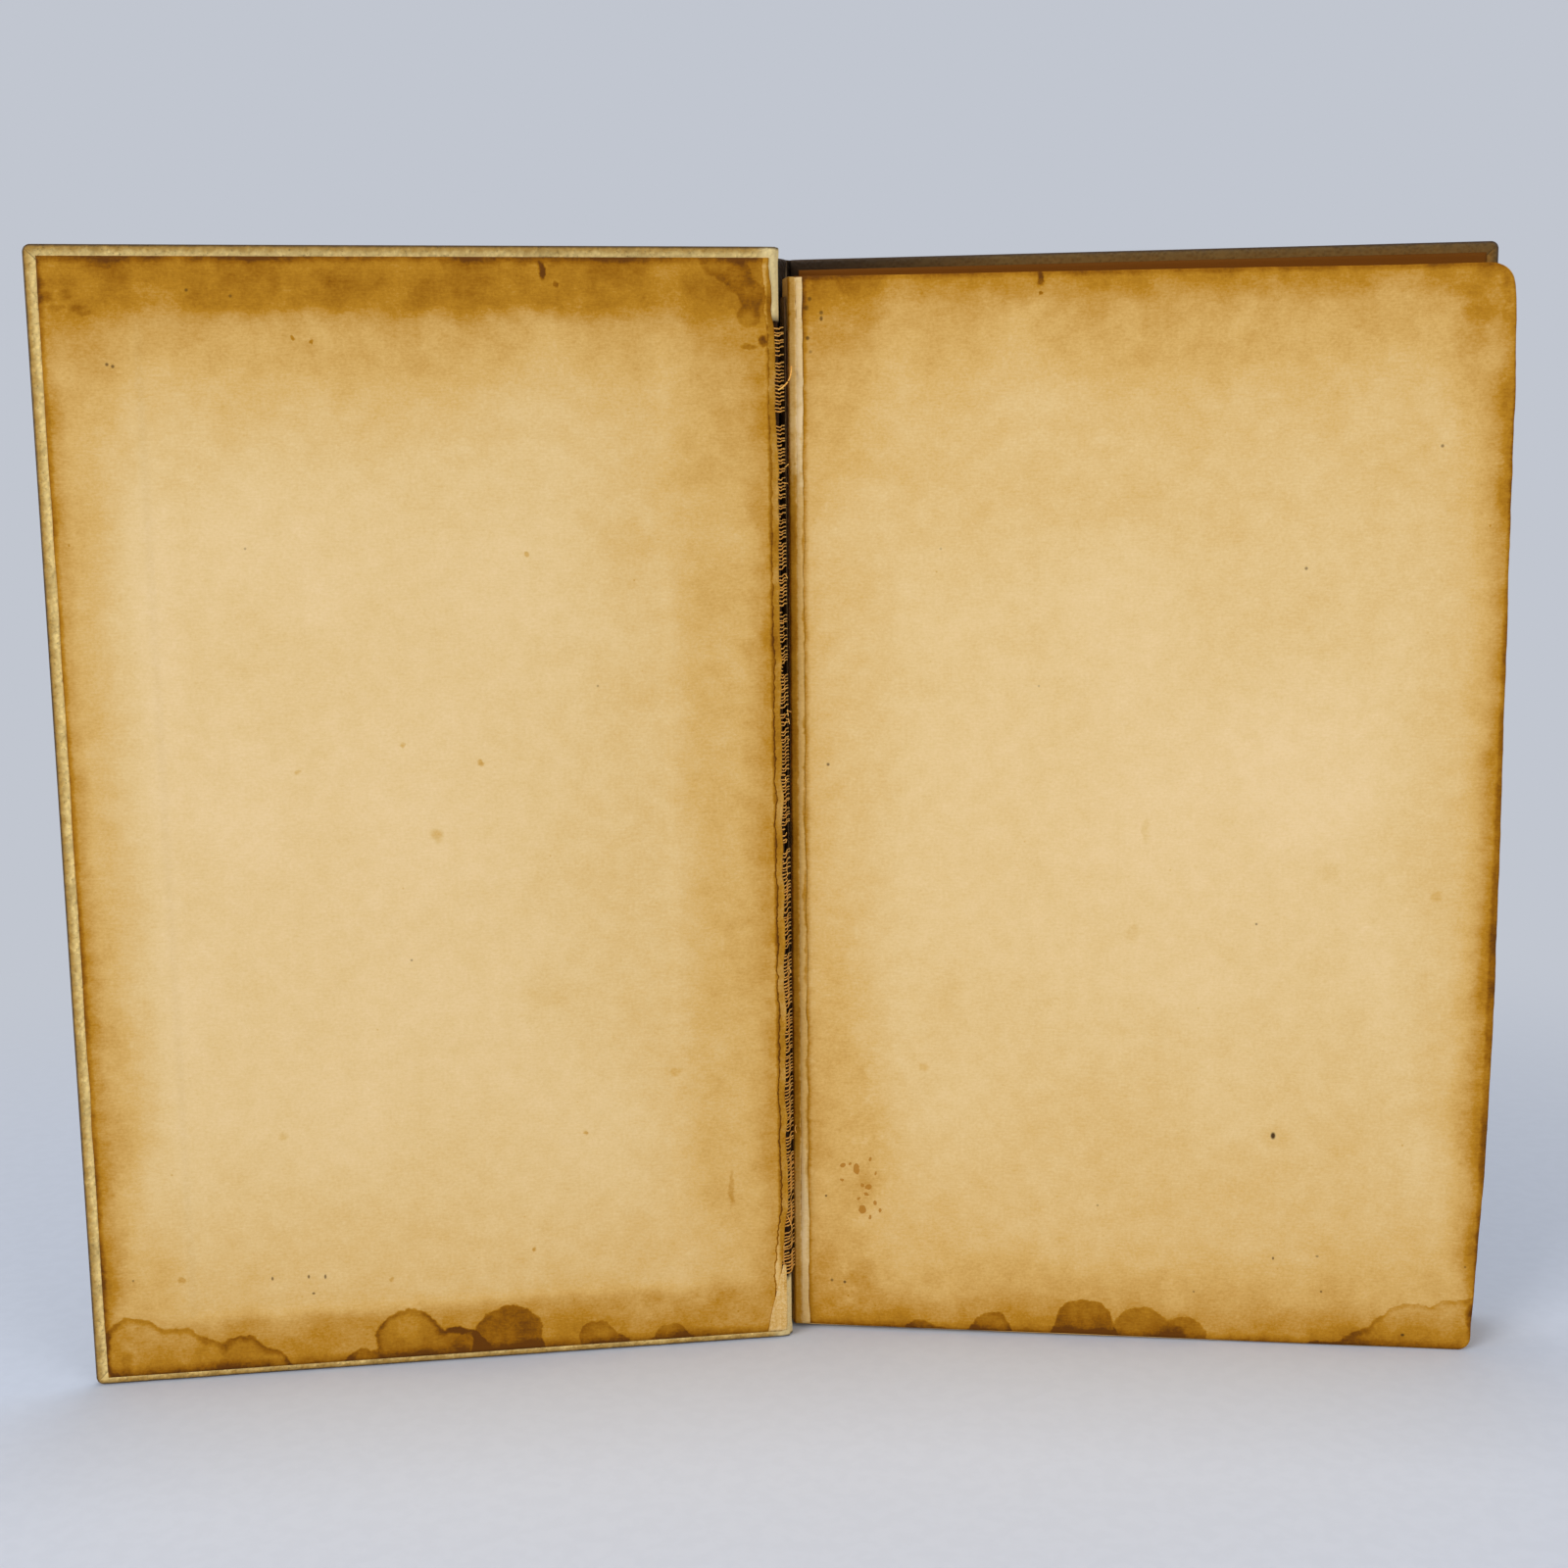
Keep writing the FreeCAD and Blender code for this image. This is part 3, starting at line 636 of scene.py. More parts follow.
# %% Finish: front paste-down, the left sheet
PASTE_CORNERS = ((2.2, 1.8), (146.1, 232.6))
paste_bands = [
    ((23.0, 18.5, 14.0, 14.0), 0.35, 0.07),
    ((0.0, 0.0, 13.0, 13.0), 0.3, 0.09),
    ((0.8, 1.3, 2.6, 1.8), 1.0, 0.26),
    ((8.0, 4.5, 17.0, 30.0), 1.0, 0.17),
    ((62.0, 17.0, 62.0, 62.0), 1.0, 0.17),
    ((0.0, 0.0, 0.0, 60.0), 1.0, 0.10),
]
paste_pools = [
    ([(139, 1379, 36), (184, 1388, 36), (208, 1396, 30), (250, 1388, 27), (270, 1400, 26)],
     0.22, 0.04, 1.5, 12.0),
    ([(418, 1368, 34), (372, 1402, 26), (467, 1389, 38)], 0.20, 0.13, 1.5, 40.0),
    ([(519, 1366, 36), (519, 1386, 40)], 0.0, 0.30, 1.6, 200.0),
    ([(610, 1364, 19), (628, 1378, 19)], 0.04, 0.16, 1.2, 90.0),
    ([(684, 1372, 22), (704, 1380, 18)], 0.04, 0.14, 1.2, 90.0),
    ([(736, 262, 22), (752, 283, 13), (764, 322, 11), (766, 300, 12)], 0.09, 0.05, 1.8, 9.0),
]
paste_marks = [
    (38, 291, 18, 12, 0.10), (48, 303, 17, 10, 0.12), (58, 313, 16, 9, 0.11), (66, 301, 17, 10, 0.10),
    (77, 313, 17, 9, 0.12), (88, 319, 16, 8, 0.10), (104, 270, 46, 12, 0.10), (476, 1370, 44, 34, 0.12),
    (552, 277, 9, 20, 0.42), (566, 289, 7, 8, 0.22), (780, 348, 12, 12, 0.34), (765, 352, 22, 7, 0.18),
    (298, 345, 5, 5, 0.3), (316, 348, 5, 5, 0.3), (538, 567, 6, 6, 0.25), (491, 780, 7, 7, 0.3),
    (410, 762, 6, 6, 0.2), (305, 790, 6, 6, 0.2), (446, 852, 16, 18, 0.2), (690, 1095, 16, 12, 0.12),
    (746, 1212, 8, 44, 0.16), (598, 1157, 6, 6, 0.3), (545, 1274, 7, 7, 0.3), (399, 1307, 6, 6, 0.2),
    (290, 1160, 12, 12, 0.12), (185, 1308, 9, 9, 0.16), (468, 1357, 26, 12, 0.16),
    (130, 1392, 14, 40, 0.14), (640, 560, 60, 90, 0.05), (560, 1010, 90, 60, 0.05),
    (330, 620, 70, 80, -0.04), (240, 820, 120, 260, -0.05), (96, 1120, 100, 560, 0.07),
    (108, 1300, 60, 240, 0.08), (150, 700, 90, 700, -0.04), (790, 640, 30, 260, 0.06),
]
paste_specks = [
    (109, 372, 4, 4, 0.7), (115, 374, 4, 4, 0.7), (190, 296, 4, 4, 0.6), (235, 302, 4, 4, 0.5),
    (278, 1305, 3, 5, 0.7), (315, 1303, 3, 5, 0.7), (332, 1303, 3, 6, 0.7), (320, 1320, 4, 3, 0.7),
    (136, 1307, 3, 3, 0.5), (420, 980, 3, 3, 0.5), (610, 700, 3, 3, 0.4), (250, 560, 3, 3, 0.4),
]
paste_paper = endpaper(
    "toned_paste_down", PASTE_CORNERS, paste_bands, on_paste_down, paste_pools,
    paste_marks, paste_specks, torn=True,
)

# %% Finish: first leaf, the right sheet
PAGE_CORNERS = ((0.0, 0.0), (LEAF_WIDE + 1.0, LEAF_TALL))
page_bands = [
    ((0.0, 0.9, 2.2, 1.4), 1.0, 0.20),
    ((0.0, 4.0, 10.0, 8.0), 1.0, 0.16),
    ((0.0, 9.0, 26.0, 30.0), 1.0, 0.20),
    # A brown line beside the stub: partly a stain of paste, partly painted shadow of the stub's step.
    ((4.3, 0.0, 0.0, 0.0), 0.3, 0.26),
    ((9.0, 0.0, 0.0, 0.0), 1.0, 0.05),
    ((42.0, 30.0, 110.0, 110.0), 1.0, 0.16),
]
page_pools = [
    ([(940, 1364, 19), (962, 1370, 18)], 0.03, 0.15, 1.2, 120.0),
    ([(1013, 1356, 19), (1003, 1366, 20), (1020, 1374, 22)], 0.10, 0.18, 1.4, 90.0),
    ([(1106, 1355, 32), (1106, 1374, 38)], 0.0, 0.30, 1.6, 200.0),
    ([(1165, 1362, 30), (1172, 1380, 34), (1206, 1366, 24)], 0.04, 0.16, 1.4, 120.0),
    ([(1440, 1376, 50), (1392, 1396, 42), (1352, 1404, 40), (1487, 1372, 50), (1510, 1366, 46)],
     0.13, 0.08, 1.2, 22.0),
]
page_marks = [
    (1061, 284, 8, 16, 0.34), (1062, 300, 5, 5, 0.3), (1170, 848, 9, 34, 0.10), (1154, 952, 22, 22, 0.08),
    (942, 1090, 12, 12, 0.14), (882, 1215, 22, 56, 0.04), (1198, 1360, 30, 22, 0.12),
    (1299, 1160, 34, 34, 0.08), (1355, 892, 30, 24, 0.08), (1400, 940, 16, 14, 0.08),
    (1465, 915, 14, 14, 0.08), (1126, 1362, 34, 14, 0.30), (1094, 1362, 30, 12, 0.16),
    (1502, 1346, 12, 52, 0.22), (1508, 322, 34, 30, 0.05), (1492, 296, 50, 16, 0.05),
    (1536, 302, 10, 50, 0.08), (1150, 620, 160, 220, -0.05), (1340, 780, 200, 260, -0.06),
    (960, 1010, 70, 140, 0.03), (1235, 1010, 140, 70, -0.03), (1520, 1180, 100, 560, 0.05),
    (1540, 370, 130, 330, 0.12), (845, 1180, 170, 520, 0.13), (845, 370, 150, 360, 0.09),
]
page_specks = [
    (845, 780, 4, 4, 0.7), (849, 1306, 4, 4, 0.6), (1333, 580, 4, 4, 0.6), (1472, 455, 4, 4, 0.6),
    (1282, 943, 3, 3, 0.6), (1299, 1159, 6, 9, 0.95), (826, 305, 5, 5, 0.6), (823, 314, 6, 7, 0.5),
    (838, 319, 5, 5, 0.6), (838, 325, 4, 6, 0.7), (824, 345, 5, 5, 0.7), (827, 359, 4, 4, 0.4),
    (843, 1220, 3, 3, 0.8), (1060, 700, 3, 3, 0.3), (1120, 1230, 3, 3, 0.4), (960, 560, 3, 3, 0.3),
    (1431, 1362, 5, 4, 0.8), (1299, 1284, 3, 4, 0.7), (1344, 1282, 4, 3, 0.5), (1218, 1318, 3, 3, 0.5),
    (1348, 1318, 3, 3, 0.7), (862, 1308, 4, 4, 0.8), (1495, 1293, 3, 3, 0.5),
]
page_chips = [
    (860, 1189, 7, 6, 1), (867, 1188, 4, 5, 1), (874, 1193, 8, 15, 1), (880, 1209, 5, 6, 1),
    (886, 1211, 9, 8, 1), (884, 1219, 7, 5, 1), (876, 1223, 4, 5, 1), (880, 1234, 10, 10, 1),
    (893, 1227, 5, 6, 1), (898, 1235, 4, 7, 1), (888, 1242, 4, 5, 1), (888, 1183, 4, 5, 1),
    (894, 1197, 3, 6, 1), (860, 1204, 5, 4, 1),
]
page_paper = endpaper(
    "toned_first_leaf_painted_shadow", PAGE_CORNERS, page_bands, on_page, page_pools, page_marks, page_specks, page_chips
)

# %% Finish: the papers at the rear
rear_bands_head_shade = [
    ((0.0, 18.5, 13.5, 13.5), 0.3, 0.16),
    # Dark bands at the head: age, and painted shade where the rear paste-down shows above the leaves.
    ((0.0, 2.0, 3.0, 9.0), 0.6, 0.34),
    ((0.0, 0.0, 0.0, 5.0), 0.4, 0.36),
    ((14.0, 6.0, 8.0, 14.0), 1.0, 0.26),
    ((40.0, 30.0, 40.0, 60.0), 1.0, 0.16),
]
rear_paper = endpaper("toned_rear_endpaper_head_shade", PASTE_CORNERS, rear_bands_head_shade, fresh=0.18)
stub_bands_gutter_shade = [
    # The stub's gutter side is darker: painted shade where it turns into the joint.
    ((2.0, 0.0, 0.0, 0.0), 0.3, 0.36),
    ((0.7, 0.0, 0.0, 0.0), 1.0, 0.2),
    ((0.0, 0.5, 30.0, 40.0), 1.0, 0.2),
]
stub_marks = [(1.0, 214.0, 60, 330, -0.44), (0.8, 14.0, 60, 330, -0.30)]
stub_paper = endpaper(
    "toned_stub_gutter_shade", ((0.0, 0.0), (3.4, LEAF_TALL)), stub_bands_gutter_shade, lambda spot: spot, marks=stub_marks, fresh=0.36
)
print("paper finishes:", [m.name for m in bpy.data.materials if m.name.startswith("toned")])

# %% [markdown]
# ## Finish: torn paper and leaf edges
#
# Torn paper shows its unprinted middle: paler, fuzzy and soft. The cut edges of the leaves are
# the opposite, browned by a century of air and dust. Their fine lines run along the leaves, so
# noise is stretched hard in one direction, and the geometry underneath carries the larger steps
# between sections.

# %% Torn paper
torn_paper, tree, shader = new_finish("torn_paper")
place = flat_place(tree)
fibres = placed(tree, paper_fibres, {"Place": place, "Mottle": 0.5})
streaks = vector(tree, "MULTIPLY", place, (1.4, 0.12, 1.0))
grime = noise(tree, streaks, 1.0, 4.0, 0.65).outputs["Fac"]
age = sums(tree, "MULTIPLY_ADD", grime, 0.62, sums(tree, "ADD", fibres["Tone"], 0.02))
tree.links.new(ramp(tree, age, *AGES), shader.inputs["Base Color"])
shader.inputs["Roughness"].default_value = 0.95
shader.inputs["Specular IOR Level"].default_value = 0.2
bumped(tree, fibres["Height"], 0.12, shader)

# %% Leaf edges
leaf_edges, tree, shader = new_finish("browned_leaf_edges")
place = flat_place(tree)
lines = noise(tree, vector(tree, "MULTIPLY", place, (0.03, 7.0, 1.0)), 1.0, 3.0, 0.7).outputs["Fac"]
bands = noise(tree, vector(tree, "MULTIPLY", place, (0.02, 0.7, 1.0)), 1.0).outputs["Fac"]
dirt = noise(tree, place, 0.06, 4.0, 0.6).outputs["Fac"]
age = sums(tree, "MULTIPLY_ADD", lines, 0.7, sums(tree, "MULTIPLY_ADD", bands, 0.35, -0.28))
age = sums(tree, "MULTIPLY_ADD", dirt, 0.34, age)
tree.links.new(ramp(tree, age, *AGES), shader.inputs["Base Color"])
shader.inputs["Roughness"].default_value = 0.85
shader.inputs["Specular IOR Level"].default_value = 0.25
bumped(tree, lines, 0.16, shader)

# %% [markdown]
# ## Finish: cover cloth
#
# Book cloth is plain-woven cotton filled with starch, pressed with a pebbled grain and coloured
# in the filling. Where it rubs, the filling goes first, so corners and edges turn pale and the
# weave shows. Both the grain and the rubbing are groups, because the turned-in cloth inside the
# cover uses them too, at another strength. `turned` and `rubbed` are numbers stored on the mesh:
# how far a point is on the inner side, and how much wear its place on the book gets.

# %% Group: pebbled grain and weave
tree, given, result = group(
    "pebbled_cloth",
    [("Place", "Vector", (0, 0, 0)), ("Pebble", "Float", 0.9), ("Weave", "Float", 2.4)],
    [("Height", "Float"), ("Hollow", "Float"), ("Threads", "Float")],
)
bent = placed(tree, uneven_place, {"Place": given["Place"], "Lumps": 0.9, "Shift": 0.5})["Place"]
size = sums(tree, "DIVIDE", 1.0, given["Pebble"])
pebbles = {"Vector": bent, "Scale": size, "Smoothness": 0.6}
cells = add(tree, "ShaderNodeTexVoronoi", pebbles, feature="SMOOTH_F1")
dome = one_less(tree, spread(tree, cells.outputs["Distance"], 0.05, 0.75))
parts = parts_of(tree, given["Place"])
turn = sums(tree, "MULTIPLY", given["Weave"], 2 * math.pi)
over = sums(tree, "SINE", sums(tree, "MULTIPLY", parts["X"], turn))
under = sums(tree, "SINE", sums(tree, "MULTIPLY", parts["Y"], turn))
threads = sums(tree, "MULTIPLY", over, under)
tree.links.new(sums(tree, "MULTIPLY_ADD", threads, 0.12, dome), result.inputs["Height"])
tree.links.new(one_less(tree, dome), result.inputs["Hollow"])
tree.links.new(threads, result.inputs["Threads"])
pebbled_cloth = tree

# %% Group: wear
tree, given, result = group(
    "rubbed_wear",
    [("Place", "Vector", (0, 0, 0)), ("Rubbed", "Float", 0.0), ("High spots", "Float", 0.5)],
    [("Bare", "Float"), ("Grime", "Float")],
)
patchy = noise(tree, given["Place"], 0.35, 5.0, 0.65).outputs["Fac"]
wanted = sums(tree, "MULTIPLY_ADD", given["Rubbed"], 1.5, sums(tree, "SUBTRACT", patchy, 1.0))
wanted = sums(tree, "MULTIPLY_ADD", given["High spots"], 0.25, wanted)
tree.links.new(spread(tree, wanted, 0.1, 0.5), result.inputs["Bare"])
soil = noise(tree, given["Place"], 0.045, 5.0, 0.62).outputs["Fac"]
tree.links.new(spread(tree, soil, 0.42, 0.72), result.inputs["Grime"])
rubbed_wear = tree


# %% Cover cloth finish
def cover_cloth_finish(name, outside, inside, rim_tint, head_soil_and_shade, joint_tint, joint_share, joint_reach):
    """Pebbled cloth: one colour outside, another where it is turned in, both flecked and rubbed. Head and joint tints
    are soil, on the rear also painted shade, and a thin painted shade runs along the edge.
    """
    made, tree, shader = new_finish(name)
    place = flat_place(tree)
    cloth = placed(tree, pebbled_cloth, {"Place": place, "Pebble": 0.85, "Weave": 2.2})
    stored = {title: add(tree, "ShaderNodeAttribute", attribute_name=title).outputs["Fac"]
              for title in ("turned", "rubbed", "rim", "seam")}
    wear = {"Place": place, "Rubbed": stored["rubbed"], "High spots": cloth["Height"]}
    worn = placed(tree, rubbed_wear, wear)
    speckle = spread(tree, noise(tree, place, 1.5, 3.0, 0.7).outputs["Fac"], 0.56, 0.72)
    outer = mixed(tree, sums(tree, "MULTIPLY", cloth["Hollow"], 0.55), outside, SOIL_AND_SHADE)
    outer = mixed(tree, sums(tree, "MULTIPLY", worn["Grime"], 0.45), outer, SOIL_AND_SHADE)
    outer = mixed(tree, sums(tree, "MULTIPLY", worn["Bare"], 0.8), outer, colour(196, 170, 122))
    cloudy = sums(tree, "SUBTRACT", noise(tree, place, 0.5, 4.0, 0.6).outputs["Fac"], 0.5)
    from_edge = sums(tree, "MULTIPLY_ADD", cloudy, 2.4, stored["rim"])
    inner = mixed(tree, spread(tree, from_edge, 0.6, 2.3), rim_tint, inside)
    patches = spread(tree, noise(tree, place, 0.11, 4.0, 0.6).outputs["Fac"], 0.48, 0.66)
    inner = mixed(tree, sums(tree, "MULTIPLY", cloth["Hollow"], 0.3), inner, colour(140, 110, 60))
    inner = mixed(tree, sums(tree, "MULTIPLY", patches, 0.4), inner, colour(140, 112, 56))
    inner = mixed(tree, sums(tree, "MULTIPLY", speckle, 0.6), inner, colour(90, 72, 30))
    parts = parts_of(tree, place)
    # Darker towards the head: soil, and on the rear cover also painted shade.
    by_head = spread(tree, parts["Y"], COVER_TALL - 4.0, COVER_TALL + 2.0)
    inner = mixed(tree, sums(tree, "MULTIPLY", by_head, head_soil_and_shade), inner, colour(84, 64, 32))
    # The joint side takes its own tint: pale cloth on the front cover, near-black painted shade on the rear.
    by_joint = one_less(tree, spread(tree, parts["X"], *joint_reach))
    inner = mixed(tree, sums(tree, "MULTIPLY", by_joint, joint_share), inner, joint_tint)
    tint = mixed(tree, spread(tree, stored["turned"], 0.45, 0.85), outer, inner)
    # A thin dark line along the very edge of the roll is painted shade, where the board's edge turns from the light.
    wavering = sums(tree, "MULTIPLY_ADD", cloudy, 0.6, stored["rim"])
    brink = one_less(tree, spread(tree, wavering, 0.2, 0.85))
    tint = mixed(tree, sums(tree, "MULTIPLY", brink, 0.9), tint, SOIL_AND_SHADE)
    tint = mixed(tree, sums(tree, "MULTIPLY", stored["seam"], 0.8), tint, SOIL_AND_SHADE)
    tree.links.new(tint, shader.inputs["Base Color"])
    shader.inputs["Roughness"].default_value = 0.82
    shader.inputs["Specular IOR Level"].default_value = 0.18
    shader.inputs["Sheen Weight"].default_value = 0.05
    bumped(tree, cloth["Height"], 0.2, shader)
    return made


# Dark brown: soil in the grain's hollows, grime and raw edges, and the painted shade along the edge.
SOIL_AND_SHADE = colour(60, 42, 24)
CLOTH_OUTSIDE_TINT = colour(118, 94, 58)
front_cloth_finish = cover_cloth_finish(
    "buff_cloth_front", CLOTH_OUTSIDE_TINT, inside=colour(244, 212, 136), rim_tint=colour(176, 134, 56),
    head_soil_and_shade=0.2, joint_tint=colour(232, 208, 148), joint_share=0.8, joint_reach=(14.5, 17.0),
)
# The rear turn-ins are the same cloth as the front's, painted darker: partly soil, partly painted shade, and by the
# joint near black, painted shade.
rear_cloth_shaded_finish = cover_cloth_finish(
    "buff_cloth_rear_soiled_and_shaded", CLOTH_OUTSIDE_TINT, inside=colour(128, 86, 24), rim_tint=colour(92, 64, 22),
    head_soil_and_shade=0.6, joint_tint=colour(26, 15, 6), joint_share=0.9, joint_reach=(16.0, 75.0),
)

# %% Back of the cloth, boards, card, lining and mull
def plain_finish(name, tint, dark, lumps, depth, rough_value, place_of):
    """A dull finish of two tints in lumps, for what lies inside the covers."""
    made, tree, shader = new_finish(name)
    place = place_of(tree)
    coarse = noise(tree, place, lumps, 5.0, 0.65).outputs["Fac"]
    fine = noise(tree, place, lumps * 9, 3.0, 0.7).outputs["Fac"]
    share = sums(tree, "MULTIPLY_ADD", fine, 0.35, sums(tree, "MULTIPLY", coarse, 0.65))
    tree.links.new(mixed(tree, spread(tree, share, 0.35, 0.65), tint, dark), shader.inputs["Base Color"])
    shader.inputs["Roughness"].default_value = rough_value
    shader.inputs["Specular IOR Level"].default_value = 0.2
    bumped(tree, share, depth, shader)
    return made


PLAIN = {
    # The back of the cloth is dark brown partly as painted shade: it shows only deep in the joint.
    "glued_cloth_back": (colour(64, 38, 12), colour(38, 22, 6), 0.4, 0.2, 0.9, flat_place),
    "millboard": (colour(150, 126, 92), colour(112, 92, 64), 0.5, 0.15, 0.92, solid_place),
    "spine_card": (colour(138, 116, 84), colour(104, 86, 60), 0.5, 0.1, 0.9, solid_place),
    "lining_paper": (colour(132, 100, 60), colour(92, 68, 40), 0.4, 0.15, 0.9, solid_place),
    # The glued mull is darker brown partly as painted shade, for the dark gap in the joint.
    "glued_mull_painted_shade": (colour(116, 78, 34), colour(64, 40, 14), 0.8, 0.2, 0.9, solid_place),
    # The threads' warm bright gold is partly their own colour and partly painted bounce light from the paper.
    "mull_thread_painted_bounce": (colour(255, 200, 104), colour(222, 150, 60), 0.7, 0.1, 0.9, flat_place),
}
cloth_back_painted_shade, millboard, spine_card, lining_paper, glued_mull_painted_shade, mull_thread_painted_bounce = (
    plain_finish(name, *values) for name, values in PLAIN.items()
)
for node, finish in (
    ("front_board", millboard), ("rear_board", millboard), ("spine_inlay", spine_card),
    ("spine_lining", lining_paper), ("spine_mull", glued_mull_painted_shade), ("rear_mull", glued_mull_painted_shade),
):
    frame["nodes"][node].data.materials.clear()
    frame["nodes"][node].data.materials.append(finish)
print("finishes:", len(bpy.data.materials))

# %% [markdown]
# ## Cover cloth
#
# The real cloth is one sheet. It runs over the front board, bends at the joint, rounds the
# back, bends again and covers the rear board, and it is turned in all round. In the model it
# has to bend at two joints, and a mesh can bend at only one, so it is cut down the middle of
# the back, where nothing moves.
#
# The shape is worked out as a bookbinder would measure it: a path in plan, from the middle of
# the back to the fore edge, and for each point of it the thickness that the cloth wraps. Near
# an edge the surface drops by a quarter circle, on both faces, so the two meet in a round
# roll. A square corner is then eased into a round one.

# %% Path of the cloth in plan
BACK_CENTRE = np.array([18.97, 0.0])
BACK_OUTSIDE = 19.725
BACK_HALF = math.radians(33.6)
CLOTH_OUTSIDE = -0.175
BOARD_WRAP = 2.7
BACK_WRAP = 1.5
CARD_HALF = 9.9
FAR_FROM_EDGE = 99.0
JOINT_WRAP = 0.8
CORNER_ROUND = 1.6


def cloth_path(cover, side, fold):
    """For each step from the middle of the back to the fore edge: plan point, inward way, wrap and inset."""
    turns = stops(0.0, (BACK_HALF, 0.8 / BACK_OUTSIDE))
    away = np.stack([-np.cos(turns), side * np.sin(turns)], -1)
    back = BACK_CENTRE + BACK_OUTSIDE * away
    wrap_back = np.where(np.abs(back[:, 1]) < CARD_HALF, BACK_WRAP, JOINT_WRAP)
    outs = stops(0.5, (3.2, 0.27), (8.0, 0.8), (COVER_WIDE - 6.0, 1.55), (COVER_WIDE - 1.35, 0.5))
    outs = np.append(outs, COVER_WIDE - edge_insets()[::-1][1:])
    board = cover.hinge + outs[:, None] * cover.out + CLOTH_OUTSIDE * cover.inward
    wrap_board = np.interp(outs, [0, 0.5, 1.2, 2.6], [JOINT_WRAP, 2.0, 2.4, BOARD_WRAP])
    steps = np.linspace(0, 1, 7)[1:-1, None]
    first, last = back[-1], board[0]
    lead = np.array([math.sin(BACK_HALF), side * math.cos(BACK_HALF)]) * fold
    trail = cover.out * -fold
    bend = (
        first * (1 - steps) ** 3 + (first + lead) * 3 * steps * (1 - steps) ** 2
        + (last + trail) * 3 * steps**2 * (1 - steps) + last * steps**3
    )
    plan = np.concatenate([back, bend, board])
    turning = -away[-1] * (1 - steps) + cover.inward * steps
    inward = np.concatenate([-away, turning, np.tile(cover.inward, (len(outs), 1))])
    inward /= np.linalg.norm(inward, axis=1)[:, None]
    wrap = np.concatenate([wrap_back, np.full(len(bend), JOINT_WRAP), wrap_board])
    inset = np.concatenate([np.full(len(back) + len(bend), FAR_FROM_EDGE), COVER_WIDE - outs])
    return plan, inward, wrap, inset


def edge_insets():
    """Distances in from an edge, close together round the roll: a quarter circle in even turns."""
    return BOARD_WRAP / 2 * (1 - np.sin(np.radians([90, 74, 58, 42, 28, 14, 0])))


def eased(inset, rise):
    """A point near a square corner moved into the round corner, and its distance from the edge."""
    near = (inset < CORNER_ROUND) & (rise < CORNER_ROUND)
    moved_inset, moved_rise = corner_ease(inset, rise, CORNER_ROUND)
    round_off = CORNER_ROUND - np.hypot(CORNER_ROUND - moved_inset, CORNER_ROUND - moved_rise)
    return moved_inset, moved_rise, np.where(near, round_off, np.minimum(moved_inset, moved_rise))


# %% The skin of one cover
HEAD_TURN_IN = 15.0
TAIL_TURN_IN = 14.0
FORE_TURN_IN = 21.0
LAP = 0.45
CLOTH_THICK = 0.3


